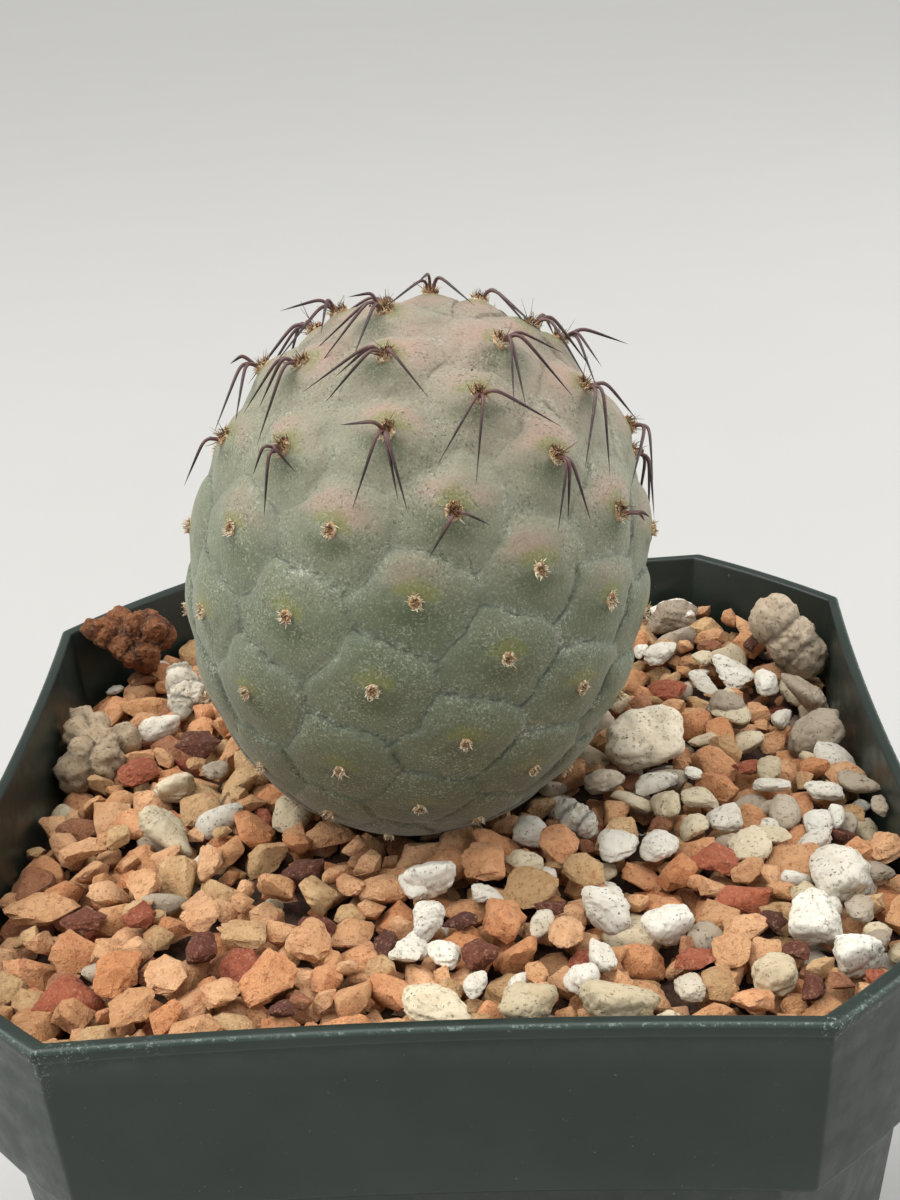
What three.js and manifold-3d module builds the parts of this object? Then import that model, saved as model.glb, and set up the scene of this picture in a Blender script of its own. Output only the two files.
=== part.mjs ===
// A potted Tephrocactus geometricus: one egg-shaped stem, sunk in grit, in a square plastic pot.
// Millimetres, +Z up. The origin is the middle of the pot's foot, and the pot's front faces -Y.
import * as THREE from "three";
import { mergeVertices } from "three/addons/utils/BufferGeometryUtils.js";
import Module from "manifold-3d";

const wasm = await Module();
wasm.setup();

// Driving dimensions
const CLEARANCE = 0.3; // between neighbouring pieces

// Pot: a square with cut corners, measured from its middle
const POT_HEIGHT = 89;
const RIM_HALF = 50.5;
const STRAIGHT_HALF = 34.6; // half the straight length of a side at the rim
const SIDE_BOW = 1.3; // how far the middle of a side lies in from its ends
const CORNER_BULGE = 0.4; // how far the middle of a cut corner stands out
const RIM_WIDTH = 1.8;
const COLLAR_HEIGHT = 20;
const COLLAR_TAPER = 1.3; // from the rim to the collar's lower edge
const COLLAR_STEP = 3.4; // from the collar in to the body
const BASE_HALF = 40;
const WALL = 1.5;
const FOOT_HEIGHT = 2;
const FOOT_WIDTH = 4;
const FLOOR_THICKNESS = 1.6;
const DRAIN_RADIUS = 4;
const DRAIN_PLACE = 24; // from the pot's middle, along both sides
const DRAIN_SIDES = 8;
const SIDE_STEPS = 6; // steps of the outline along a side
const CORNER_STEPS = 2; // and round a cut corner

// Grit: how deep its surface lies under the rim
const DEPTH_FRONT = 3;
const DEPTH_BACK = 6;
const LEFT_DIP = 4;
const LEFT_DIP_START = 24; // the dip along the left wall starts this far from the middle
const RIGHT_DIP = 5;
const RIGHT_DIP_PLACE = [48, 17];
const RIGHT_DIP_RADIUS = 10;

// Grit: the stones, fused into the bed that they are set in
const BED_DROP = 1.7; // the bed lies this much under the stones' tops
const BED_RINGS = [1, 0.8, 0.6, 0.4, 0.2];
const STONE_PITCH = 8.2;
const STONE_RADIUS = [3, 4.2];
const STONE_FLATNESS = 0.72;
const STONE_ROUGHNESS = [0.84, 1.16]; // how far a stone's corners move in and out
const STONE_UNEVENNESS = 0.6; // how far stones lie above and below the grit's level
const BLOCK = 1.35; // width of the block that a stone of radius 1 is made from
const STEM_FOOTPRINT = 9; // under the stem there are no stones within this radius

// Stem: a spheroid about its own axis, which leans to the right, under the tubercles
const STEM_RADIUS = 22.9;
const STEM_HALF_HEIGHT = 27.4;
const STEM_CENTRE = [-1.3, 0, POT_HEIGHT + 20.8];
const STEM_LEAN = 11.6; // degrees
const SOCKET_PLAY = 0.6; // between the grit and the highest points of the stem's foot
const ROOT_RADIUS = 4;
const ROOT_LENGTH = 24;
const ROOT_SIDES = 10;

// Areoles: degrees round the stem's axis count to the right from the front
const PER_WHORL = 7;
const WHORL_STEP = 360 / PER_WHORL;
const WHORL_TWIST = 3.1; // each whorl is turned by this and half a step from the one below
const FIRST_PHASE = -49;
const WHORLS = [145, 134.5, 124.4, 114.3, 103, 92.8, 83.5, 74, 65.4, 56, 44.5]; // degrees from the apex
const WHORL_SLOPE = 6; // degrees by which the whorls slope down to the left
// The crown's areoles stand less evenly: degrees round the axis, and from the apex
const CROWN = [
  [11, 32], [69, 33], [113, 27], [165, 31], [-146, 31], [-112, 30],
  [-34, 27], [34, 17], [100, 17], [160, 13.5], [-153, 14.5], [-75, 17],
];

// Tubercles: a low mound round each areole, with a crease where two meet
const MOUND = 1.4;
const CROWN_MOUND = 0.6; // more height towards the apex
const CREASE_WIDTH = 2.2;
const CREASE_DEPTH = 0.55; // as a share of the tubercles' height
const NOSE = 0.4; // the small rise right under the areole
const NOSE_RADIUS = 3;
const COLUMNS_PER_STEP = 8;
const ROWS_PER_WHORL = 2;
const CROWN_ROWS = 8;
const FOOT_ROWS = 3;

// Wool pads
const PAD_RADIUS = 1.15;
const PAD_HEIGHT = 1;
const PAD_SIDES = 5;
const BARE_PAD_HEIGHT = 0.4; // an areole without spines is a nub of the stem
const BARE_PAD_RADIUS = 0.8;

// Spines: they arch out and then down along the stem
const SPINY_FROM = 9; // the lowest whorl with spines all round
const SPINE_RADIUS = 0.4;
const SPINE_SIDES = 3;
const SPINE_STEPS = 3;
const SPINE_RISE = 1.5;
const SPINE_TIP = 1; // the tip's height over the tubercles
const SPINE_CLEAR = 0.25;
const SPINE_RAISE = 0.6; // step by which a spine is bent clear of others
const SPINE_TRIES = 6;
const SPINE_FAN = 48; // hidden spines point down within this many degrees
const SPINE_LENGTH = [6, 9];
// Spines of the areoles that face the front, by whorl and place in it: degrees from straight down,
// to the right, length, and the tip's height where the spine stands off.
const FRONT_SPINES = {
  "8,2": [[-40, 8, 2]],
  "9,1": [[-40, 5, 3], [25, 8.5], [60, 8]],
  "9,2": [[-27, 5], [5, 7.5], [43, 3.5]],
  "9,3": [[-23, 5], [73, 3.5]],
  "9,4": [[59, 6.5], [30, 4.5]],
  "10,1": [[-22, 8], [-5, 6], [20, 9]],
  "10,2": [[-88, 5], [-8, 8], [18, 5.5], [35, 8]],
  "10,3": [[-12, 7.5], [4, 6.5], [25, 7.5]],
  "10,4": [[8, 7, 2], [-60, 6.5]],
  "11,0": [[-25, 8.5], [2, 9.5], [78, 9]],
  "11,1": [[-47, 9], [-22, 9], [65, 9, 3]],
  "11,2": [[-63, 9], [-10, 8, 4], [12, 6.5, 2], [44, 4, 3]],
  "11,5": [[-8, 7, 3.5], [46, 9], [84, 6]],
  "11,6": [[-46, 8.5], [-22, 7], [70, 6.5]],
  "11,7": [[-12, 7], [10, 7.5], [92, 8], [47, 9]],
  "11,9": [[-50, 7.5], [-70, 8]],
  "11,10": [[-41, 4.5, 2], [76, 7], [165, 5]],
  "11,11": [[-86, 9], [0, 8], [22, 9], [48, 7.5]],
};

// Loose stones: name, place, size along x, y and z, turn in degrees, and the share of the height that
// lies in the grit
const LOOSE_STONES = [
  ["grey_pumice_right_back", 42.2, 29.5, 10, 9.5, 11, 20, 0.2],
  ["grey_pumice_right_middle", 44, 21, 6, 6, 5.6, 60, 0.3],
  ["grey_pumice_right_wall", 43.2, 8.6, 6.6, 7, 6, 15, 0.3],
  ["grey_pumice_right_inner", 33.9, 15.3, 5.8, 6, 4.6, 40, 0.4],
  ["grey_pumice_back", 29.9, 42, 7.4, 5, 4.5, 5, 0.4],
  ["grey_pumice_beside_stem", 18, -2, 5.8, 4.6, 4, 0, 0.4],
  ["grey_pumice_left_wall", -42.6, 15, 9.5, 9.5, 7.5, 35, 0.3],
  ["white_pumice_large", 23.6, 4.8, 9.8, 7.6, 6.4, -20, 0.3],
  ["white_pumice_before_stem", -0.8, -20.5, 5.8, 5.2, 4.6, 25, 0.4],
  ["white_pumice_beside_stem", 14.2, -10.4, 5.2, 4.6, 4.2, 30, 0.4],
  ["white_pumice_front", -0.8, -28.4, 3.6, 4.8, 4, -15, 0.4],
  ["white_pumice_inner_left", 16.3, -28, 5.6, 5.4, 5, 15, 0.4],
  ["white_pumice_inner_right", 22.3, -30.8, 5.2, 5, 4.8, 70, 0.4],
  ["white_pumice_corner_upper", 36, -31.4, 6.2, 5.8, 5.2, 50, 0.4],
  ["white_pumice_corner_lower", 39.2, -37, 5, 4.8, 4.6, 20, 0.4],
  ["white_pumice_right_edge", 40.5, -24, 7.2, 6, 5, -10, 0.4],
  ["white_pumice_left", -33.7, 26, 5, 7.6, 6, 10, 0.4],
  ["white_pumice_left_small", -35.6, 18, 5.4, 4.4, 4, -20, 0.4],
  ["beige_pumice_left_front", -30.2, -7.9, 6.6, 6, 5, 20, 0.4],
  ["beige_pumice_left", -30.8, 1.6, 5.4, 4.6, 4.2, -25, 0.4],
  ["beige_pumice_round", 31, -39.7, 4.7, 4.6, 4.5, 0, 0.4],
  ["beige_pumice_front_left", 0, -42.7, 7.2, 5, 4.2, 3, 0.4],
  ["beige_pumice_front_middle", 8.2, -42.6, 6.2, 5, 4.2, -4, 0.4],
  ["beige_pumice_front_right", 16.9, -42.7, 7.8, 5, 4.2, 2, 0.4],
  ["clay_clump", -39.4, 33.4, 13, 7.4, 11, 40, 0.12],
];
const FINE_STONE = 9; // stones wider than this get a finer mesh

// Colours
const POT_GREEN = 0x36423e;
const GRIT_TAN = 0xc48f60;
const STEM_GREEN = 0x828e78;
const SPINE_BROWN = 0x4a3230;
const STONE_COLOURS = { grey: 0xb5a898, white: 0xd8d6cf, beige: 0xc9bda6, clay: 0x8a4a2e };

// Small helpers

const radians = THREE.MathUtils.degToRad;
const { lerp, smoothstep } = THREE.MathUtils;

// A number source that gives the same run of numbers for the same seed.
function seeded(seed) {
  let state = seed;
  return function next() {
    state = (state + 0x6d2b79f5) | 0;
    let mixed = Math.imul(state ^ (state >>> 15), 1 | state);
    mixed = (mixed + Math.imul(mixed ^ (mixed >>> 7), 61 | mixed)) ^ mixed;
    return ((mixed ^ (mixed >>> 14)) >>> 0) / 4294967296;
  };
}

function between(random, [low, high]) {
  return lerp(low, high, random());
}

// A geometry with only its corners, each once.
function bare(geometry) {
  const copy = geometry.clone();
  copy.deleteAttribute("normal");
  copy.deleteAttribute("uv");
  return mergeVertices(copy, 1e-4);
}

// A geometry as a solid, for joining and cutting.
function solid(geometry) {
  const merged = bare(geometry);
  return new wasm.Manifold(
    new wasm.Mesh({
      numProp: 3,
      vertProperties: merged.attributes.position.array,
      triVerts: new Uint32Array(merged.index.array),
    }),
  );
}

function geometryOf(shape) {
  const mesh = shape.getMesh();
  const geometry = new THREE.BufferGeometry();
  geometry.setAttribute("position", new THREE.BufferAttribute(mesh.vertProperties, 3));
  geometry.setIndex(new THREE.BufferAttribute(mesh.triVerts, 1));
  geometry.computeVertexNormals();
  return geometry;
}

function joined(shapes) {
  return shapes.reduce((whole, shape) => whole.add(shape));
}

// The largest of a solid's separate bodies, so that no loose scrap and no sealed hollow is kept.
function largestBody(shape) {
  return shape.decompose().reduce((best, body) => (body.volume() > best.volume() ? body : best));
}

function named(name, geometry, color, roughness) {
  const mesh = new THREE.Mesh(geometry, new THREE.MeshStandardMaterial({ color, roughness, flatShading: true }));
  mesh.name = name;
  return mesh;
}

// Pot

const QUARTER_STEPS = SIDE_STEPS + CORNER_STEPS;
const OUTLINE_STEPS = 4 * QUARTER_STEPS;
const COLLAR_FOOT = POT_HEIGHT - COLLAR_HEIGHT;
const COLLAR_HALF = RIM_HALF - COLLAR_TAPER;
const BODY_HALF = COLLAR_HALF - COLLAR_STEP;
const FLOOR_TOP = FOOT_HEIGHT + FLOOR_THICKNESS;
const FLOOR_HALF = lerp(BASE_HALF, BODY_HALF, FLOOR_TOP / COLLAR_FOOT);

// A point of the outline of a pot whose half width is 1.
function outlinePoint(index) {
  const step = index % QUARTER_STEPS;
  const point = new THREE.Vector2();
  if (step <= SIDE_STEPS) {
    const along = (2 * step) / SIDE_STEPS - 1;
    point.set(RIM_HALF - SIDE_BOW * (1 - along * along), STRAIGHT_HALF * along);
  } else {
    point.setScalar((RIM_HALF + STRAIGHT_HALF) / 2 + CORNER_BULGE);
  }
  const quarter = Math.floor(index / QUARTER_STEPS) % 4;
  return point.divideScalar(RIM_HALF).rotateAround(new THREE.Vector2(), (quarter * Math.PI) / 2);
}

// A turned profile of half widths and heights, with its rings changed to the pot's outline. A
// height may be a function of the place.
function squareTurned(profile) {
  const points = profile.map(([half]) => new THREE.Vector2(half, 0));
  const geometry = new THREE.LatheGeometry(points, OUTLINE_STEPS);
  const place = geometry.attributes.position;
  for (let i = 0; i <= OUTLINE_STEPS; i++) {
    const edge = outlinePoint(i);
    profile.forEach(([half, height], j) => {
      const x = edge.x * half;
      const y = edge.y * half;
      const z = typeof height === "function" ? height(x, y) : height;
      place.setXYZ(i * profile.length + j, x, y, z);
    });
  }
  return geometry;
}

// The pot's inside, from the floor's middle up the wall to a height, narrower by a gap.
function insideProfile(gap, top) {
  const collar = COLLAR_HALF - WALL - gap;
  const rim = RIM_HALF - RIM_WIDTH - gap;
  const step = COLLAR_FOOT + WALL + gap;
  return [
    [0, FLOOR_TOP + gap],
    [FLOOR_HALF - WALL - gap, FLOOR_TOP + gap],
    [BODY_HALF - WALL - gap, step],
    [collar, step],
    [collar + ((rim - collar) * (top - step)) / (POT_HEIGHT - step), top],
  ];
}

function pot() {
  const outside = [
    [0, FOOT_HEIGHT],
    [BASE_HALF - FOOT_WIDTH, FOOT_HEIGHT],
    [BASE_HALF - FOOT_WIDTH, 0],
    [BASE_HALF, 0],
    [BODY_HALF, COLLAR_FOOT],
    [COLLAR_HALF, COLLAR_FOOT],
    [RIM_HALF, POT_HEIGHT],
  ];
  const shell = solid(squareTurned([...outside, ...insideProfile(0, POT_HEIGHT).reverse()]));
  const drains = [[0, 0], [1, 1], [1, -1], [-1, 1], [-1, -1]].map(([x, y]) => {
    const hole = new THREE.CylinderGeometry(DRAIN_RADIUS, DRAIN_RADIUS, 4 * FLOOR_TOP, DRAIN_SIDES);
    hole.rotateX(Math.PI / 2);
    hole.translate(x * DRAIN_PLACE, y * DRAIN_PLACE, 0);
    return solid(hole);
  });
  return geometryOf(shell.subtract(joined(drains)));
}

// Grit

// Height of the grit's surface at a place in the pot.
function gritLevel(x, y) {
  const depth = lerp(DEPTH_FRONT, DEPTH_BACK, (y + RIM_HALF) / (2 * RIM_HALF));
  const left = LEFT_DIP * smoothstep(-x, LEFT_DIP_START, RIM_HALF);
  const [dipX, dipY] = RIGHT_DIP_PLACE;
  const away = Math.hypot(x - dipX, y - dipY) / RIGHT_DIP_RADIUS;
  return POT_HEIGHT - depth - left - RIGHT_DIP * Math.exp(-(away ** 2));
}

function bedLevel(x, y) {
  return gritLevel(x, y) - BED_DROP;
}

function insidePot(x, y) {
  const half = COLLAR_HALF - WALL;
  const corner = half * (1 + STRAIGHT_HALF / RIM_HALF);
  return Math.max(Math.abs(x), Math.abs(y)) < half && Math.abs(x) + Math.abs(y) < corner;
}

// A rough stone about the origin: a plain form of radius 1 with its corners moved in and out.
function roughStone(random, size, form) {
  const geometry = bare(form);
  const place = geometry.attributes.position;
  const corner = new THREE.Vector3();
  for (let i = 0; i < place.count; i++) {
    corner.fromBufferAttribute(place, i).multiplyScalar(between(random, STONE_ROUGHNESS));
    place.setXYZ(i, corner.x, corner.y, corner.z);
  }
  geometry.rotateX(2 * Math.PI * random());
  geometry.rotateY(2 * Math.PI * random());
  geometry.scale(...size.map((across) => across / 2));
  return geometry;
}

// A loose stone where it lies, larger all round by a gap.
function looseStone([name, x, y, width, depth, height, turn, sunk], gap) {
  const random = seeded(LOOSE_STONES.findIndex(([other]) => other === name) + 1);
  const size = [width, depth, height].map((across) => across + 2 * gap);
  const form = new THREE.IcosahedronGeometry(1, width > FINE_STONE ? 1 : 0);
  const geometry = roughStone(random, size, form);
  geometry.rotateZ(radians(turn));
  geometry.translate(x, y, gritLevel(x, y) + (0.5 - sunk) * height);
  return geometry;
}

// Where the fused stones lie: rows that are staggered, with each place moved a little.
function stonePlaces(random) {
  const places = [];
  const rowPitch = (STONE_PITCH * Math.sqrt(3)) / 2;
  const rows = Math.ceil(RIM_HALF / rowPitch);
  const columns = Math.ceil(RIM_HALF / STONE_PITCH);
  for (let row = -rows; row <= rows; row++) {
    for (let column = -columns; column <= columns; column++) {
      const stagger = row % 2 === 0 ? 0 : 0.5;
      const x = (column + stagger + 0.4 * (random() - 0.5)) * STONE_PITCH;
      const y = (row + 0.4 * (random() - 0.5)) * rowPitch;
      places.push([x, y]);
    }
  }
  return places;
}

function isTaken(x, y) {
  const underStem = Math.hypot(x - STEM_CENTRE[0], y - STEM_CENTRE[1]) < STEM_FOOTPRINT;
  const underStone = LOOSE_STONES.some(
    ([, stoneX, stoneY, width, depth]) => Math.hypot(x - stoneX, y - stoneY) < Math.max(width, depth) / 3,
  );
  return underStem || underStone;
}

function grit() {
  const random = seeded(5);
  const top = BED_RINGS.map((share) => [share * RIM_HALF, bedLevel]);
  const bed = solid(squareTurned([[0, 0], [RIM_HALF, 0], ...top, [0, bedLevel]]));
  const stones = [];
  for (const [x, y] of stonePlaces(random)) {
    const radius = between(random, STONE_RADIUS);
    const size = [2 * radius, 2 * radius * between(random, [0.75, 1]), 2 * radius * STONE_FLATNESS];
    const geometry = roughStone(random, size, new THREE.BoxGeometry(BLOCK, BLOCK, BLOCK));
    const lift = STONE_UNEVENNESS * (2 * random() - 1) - size[2] / 2;
    geometry.rotateZ(Math.PI * random());
    geometry.translate(x, y, gritLevel(x, y) + lift);
    if (insidePot(x, y) && !isTaken(x, y)) stones.push(solid(geometry));
  }
  const inside = solid(squareTurned([...insideProfile(CLEARANCE, POT_HEIGHT), [0, POT_HEIGHT]]));
  const sockets = LOOSE_STONES.map((loose) => solid(looseStone(loose, CLEARANCE)));
  const heap = joined([bed, ...stones]).intersect(inside);
  return geometryOf(largestBody(heap.subtract(joined([stemHole(), ...sockets]))));
}

// Stem

function outOfStem(point) {
  const side = STEM_RADIUS ** 2;
  return new THREE.Vector3(point.x / side, point.y / side, point.z / STEM_HALF_HEIGHT ** 2).normalize();
}

// A point of the smooth stem, in the stem's own frame.
function onStem(azimuth, polar) {
  const across = STEM_RADIUS * Math.sin(radians(polar));
  return new THREE.Vector3(
    across * Math.sin(radians(azimuth)),
    -across * Math.cos(radians(azimuth)),
    STEM_HALF_HEIGHT * Math.cos(radians(polar)),
  );
}

function sloped(azimuth, polar) {
  return polar + WHORL_SLOPE * Math.cos(radians(polar)) * Math.sin(radians(azimuth));
}

function placeAreoles() {
  const places = CROWN.map(([azimuth, polar], k) => ({ whorl: WHORLS.length, k, azimuth, polar }));
  WHORLS.forEach((polar, whorl) => {
    for (let k = 0; k < PER_WHORL; k++) {
      const azimuth = FIRST_PHASE + whorl * (WHORL_STEP / 2 + WHORL_TWIST) + k * WHORL_STEP;
      places.push({ whorl, k, azimuth, polar: sloped(azimuth, polar) });
    }
  });
  return places.map((place) => ({ ...place, point: onStem(place.azimuth, place.polar) }));
}

const AREOLES = placeAreoles();

// How far the tubercles rise over a point of the smooth stem.
function moundHeight(point) {
  return MOUND + CROWN_MOUND * smoothstep(point.z, 0, STEM_HALF_HEIGHT);
}

function relief(point) {
  let nearest = Infinity;
  let second = Infinity;
  let isBare = true;
  for (const areole of AREOLES) {
    const away = areole.point.distanceTo(point);
    second = Math.min(second, Math.max(away, nearest));
    if (away < nearest) isBare = areole.whorl < SPINY_FROM;
    nearest = Math.min(nearest, away);
  }
  const nose = NOSE * Math.exp(-((nearest / NOSE_RADIUS) ** 2));
  const nub = isBare ? BARE_PAD_HEIGHT * Math.exp(-((nearest / BARE_PAD_RADIUS) ** 2)) : 0;
  const crease = CREASE_DEPTH * Math.exp((nearest - second) / CREASE_WIDTH);
  return moundHeight(point) * (1 - crease) + nose + nub;
}

function raised(point, height) {
  return point.clone().addScaledVector(outOfStem(point), height);
}

// The rows of the stem's mesh from the apex down: degrees from the apex, and degrees of twist. Each
// whorl lies on a row, so that its areoles are corners of the mesh.
function stemRows() {
  const top = WHORLS.length - 1;
  const rows = [];
  for (let i = 0; i < CROWN_ROWS; i++) {
    rows.push([(WHORLS[top] * i) / CROWN_ROWS, top * WHORL_TWIST]);
  }
  for (let i = 0; i < top * ROWS_PER_WHORL; i++) {
    const whorl = top - i / ROWS_PER_WHORL;
    const below = Math.ceil(whorl) - 1;
    rows.push([lerp(WHORLS[below], WHORLS[below + 1], whorl - below), whorl * WHORL_TWIST]);
  }
  for (let i = 0; i <= FOOT_ROWS; i++) {
    rows.push([lerp(WHORLS[0], 180, i / FOOT_ROWS), 0]);
  }
  return rows;
}

function stemSkin() {
  const rows = stemRows();
  const columns = PER_WHORL * COLUMNS_PER_STEP;
  const geometry = new THREE.SphereGeometry(1, columns, rows.length - 1);
  const place = geometry.attributes.position;
  rows.forEach(([polar, twist], row) => {
    const isPole = row === 0 || row === rows.length - 1;
    for (let column = 0; column <= columns; column++) {
      const azimuth = FIRST_PHASE + twist + ((column % columns) * 360) / columns;
      const smooth = onStem(azimuth, isPole ? polar : sloped(azimuth, polar));
      const point = raised(smooth, relief(smooth));
      place.setXYZ(row * (columns + 1) + column, point.x, point.y, point.z);
    }
  });
  return geometry;
}

// The root, from inside the stem's foot down into the grit.
function root(gap) {
  const geometry = new THREE.CylinderGeometry(
    ROOT_RADIUS + gap,
    ROOT_RADIUS / 2 + gap,
    ROOT_LENGTH + gap,
    ROOT_SIDES,
  );
  geometry.rotateX(Math.PI / 2);
  geometry.translate(0, 0, ROOT_RADIUS - STEM_HALF_HEIGHT - (ROOT_LENGTH + gap) / 2);
  return geometry;
}

function stem() {
  return geometryOf(solid(stemSkin()).add(solid(root(0))));
}

// The plain hole in the grit that the stem's foot and root stand in.
function stemHole() {
  const foot = new THREE.SphereGeometry(1, 24, 14);
  const play = MOUND + NOSE + BARE_PAD_HEIGHT + SOCKET_PLAY;
  foot.rotateX(Math.PI / 2);
  foot.scale(STEM_RADIUS + play, STEM_RADIUS + play, STEM_HALF_HEIGHT + play);
  const hole = geometryOf(solid(foot).add(solid(root(CLEARANCE))));
  hole.rotateY(radians(STEM_LEAN));
  hole.translate(...STEM_CENTRE);
  return solid(hole);
}

// Areoles with spines

// Turns a geometry's +Z straight out of the stem at an areole, and moves it there.
function atAreole(geometry, { point }, lift) {
  const up = new THREE.Vector3(0, 0, 1);
  const seat = raised(point, relief(point) + lift);
  geometry.applyQuaternion(new THREE.Quaternion().setFromUnitVectors(up, outOfStem(point)));
  geometry.translate(seat.x, seat.y, seat.z);
  return geometry;
}

// The spines of an areole: turn from straight down, length and the tip's height.
function spinesOf({ whorl, k }) {
  const shown = FRONT_SPINES[`${whorl},${k}`];
  if (shown) return shown.map(([turn, length, tip = SPINE_TIP]) => [turn, length, tip]);
  if (whorl < SPINY_FROM) return [];
  const random = seeded(100 * whorl + k);
  const count = random() < 0.5 ? 3 : 4;
  return Array.from({ length: count }, (_, i) => {
    const turn = SPINE_FAN * ((2 * i) / (count - 1) - 1) + 14 * (random() - 0.5);
    return [turn, between(random, SPINE_LENGTH), SPINE_TIP];
  });
}

// The point of a spine's middle line at a share of its length, bent out by some millimetres.
function alongSpine({ point }, [turn, length, tip], bend, share) {
  const out = outOfStem(point);
  const right = new THREE.Vector3(0, 0, 1).cross(out).normalize();
  const down = right.clone().cross(out);
  const heading = down.multiplyScalar(Math.cos(radians(turn)));
  heading.addScaledVector(right, Math.sin(radians(turn)));
  const flat = point.clone().addScaledVector(heading, length * share);
  const side = Math.hypot(flat.x, flat.y) / STEM_RADIUS;
  const smooth = flat.divideScalar(Math.hypot(side, flat.z / STEM_HALF_HEIGHT));
  const start = relief(point) + CLEARANCE + PAD_HEIGHT / 2;
  const end = moundHeight(smooth) + tip + bend;
  return raised(smooth, lerp(start, end, share) + (SPINE_RISE + bend) * Math.sin(Math.PI * Math.sqrt(share)));
}

function spine(areole, figures, bend, radius) {
  const geometry = new THREE.ConeGeometry(radius, 1, SPINE_SIDES, SPINE_STEPS);
  const place = geometry.attributes.position;
  const step = 0.02;
  for (let i = 0; i < place.count; i++) {
    const share = place.getY(i) + 0.5;
    const middle = alongSpine(areole, figures, bend, share);
    const before = alongSpine(areole, figures, bend, Math.max(0, share - step));
    const after = alongSpine(areole, figures, bend, Math.min(1, share + step));
    const ahead = after.sub(before).normalize();
    const side = ahead.clone().cross(outOfStem(middle)).normalize();
    const top = side.clone().cross(ahead);
    middle.addScaledVector(side, place.getX(i)).addScaledVector(top, place.getZ(i));
    place.setXYZ(i, middle.x, middle.y, middle.z);
  }
  return geometry;
}

function pad(areole) {
  const geometry = new THREE.CylinderGeometry(PAD_RADIUS / 2, PAD_RADIUS, PAD_HEIGHT, PAD_SIDES);
  geometry.rotateX(Math.PI / 2);
  return solid(atAreole(geometry, areole, CLEARANCE + PAD_HEIGHT / 2));
}

// Each spiny areole is its pad with its spines. A spine that would cross another areole's is bent
// further out until it is clear.
function spinyAreoles() {
  const spiny = AREOLES.filter((areole) => spinesOf(areole).length > 0);
  const pads = spiny.map(pad);
  const clusters = [];
  spiny.forEach((areole, index) => {
    const others = [...clusters, ...pads.slice(index + 1)];
    const spines = spinesOf(areole).map((figures) => {
      let bend = 0;
      for (let i = 0; i < SPINE_TRIES; i++) {
        const wide = solid(spine(areole, figures, bend, SPINE_RADIUS + SPINE_CLEAR));
        if (others.every((other) => wide.intersect(other).isEmpty())) break;
        bend += SPINE_RAISE;
      }
      return solid(spine(areole, figures, bend, SPINE_RADIUS));
    });
    clusters.push(joined([pads[index], ...spines]));
  });
  return clusters.map(geometryOf);
}

// The whole object

const plant = new THREE.Group();
plant.position.set(...STEM_CENTRE);
plant.rotation.y = radians(STEM_LEAN);
plant.add(named("cactus_stem", stem(), STEM_GREEN, 0.6));
spinyAreoles().forEach((geometry, index) => {
  const number = String(index + 1).padStart(2, "0");
  plant.add(named(`spiny_areole_${number}`, geometry, SPINE_BROWN, 0.5));
});

const object = new THREE.Group();
object.add(named("pot", pot(), POT_GREEN, 0.45));
object.add(named("grit", grit(), GRIT_TAN, 0.9));
for (const loose of LOOSE_STONES) {
  const [name] = loose;
  const colour = STONE_COLOURS[name.split("_")[0]];
  object.add(named(name, looseStone(loose, 0), colour, 0.9));
}
object.add(plant);

export default object;
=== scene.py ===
"""The looks of a potted Tephrocactus geometricus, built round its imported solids."""

import math

import bmesh
import bpy
import numpy as np
from mathutils import Matrix, Vector


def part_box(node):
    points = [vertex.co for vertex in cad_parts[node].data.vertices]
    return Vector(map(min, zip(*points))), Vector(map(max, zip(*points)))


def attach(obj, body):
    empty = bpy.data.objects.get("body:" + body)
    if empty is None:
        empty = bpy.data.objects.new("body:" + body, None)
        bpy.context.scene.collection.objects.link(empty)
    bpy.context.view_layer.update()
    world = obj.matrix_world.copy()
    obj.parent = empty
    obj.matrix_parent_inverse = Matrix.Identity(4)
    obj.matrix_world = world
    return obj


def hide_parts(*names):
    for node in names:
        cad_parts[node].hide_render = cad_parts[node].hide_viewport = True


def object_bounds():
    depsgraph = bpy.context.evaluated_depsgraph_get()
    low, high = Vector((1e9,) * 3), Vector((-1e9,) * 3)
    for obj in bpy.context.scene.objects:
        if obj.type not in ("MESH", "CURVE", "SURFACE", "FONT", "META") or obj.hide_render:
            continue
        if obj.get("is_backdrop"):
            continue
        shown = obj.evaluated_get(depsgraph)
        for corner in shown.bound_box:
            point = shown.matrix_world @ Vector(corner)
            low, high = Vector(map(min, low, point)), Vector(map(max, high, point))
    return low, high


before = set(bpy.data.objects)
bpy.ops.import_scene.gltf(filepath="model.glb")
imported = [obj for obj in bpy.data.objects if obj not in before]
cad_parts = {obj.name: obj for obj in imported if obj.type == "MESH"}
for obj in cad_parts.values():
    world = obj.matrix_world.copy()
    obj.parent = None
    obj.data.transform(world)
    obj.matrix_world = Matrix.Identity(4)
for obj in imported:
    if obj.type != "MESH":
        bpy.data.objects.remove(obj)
cad_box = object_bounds()

# Lengths are in millimetres, and angles in degrees. A mesh's points become metres when it is made.
MM = 0.001

# Photograph and camera
PHOTO_MIDDLE = (450, 600)
FOCAL_PIXELS = 1729
PHOTO_HEIGHT = 1200
SENSOR = 36
CAMERA_PLACE = np.array([8.8, -168.7, 184.6])
CAMERA_AZIMUTH = 2.33
CAMERA_PITCH = 24.72
CAMERA_ROLL = -3.53

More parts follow.
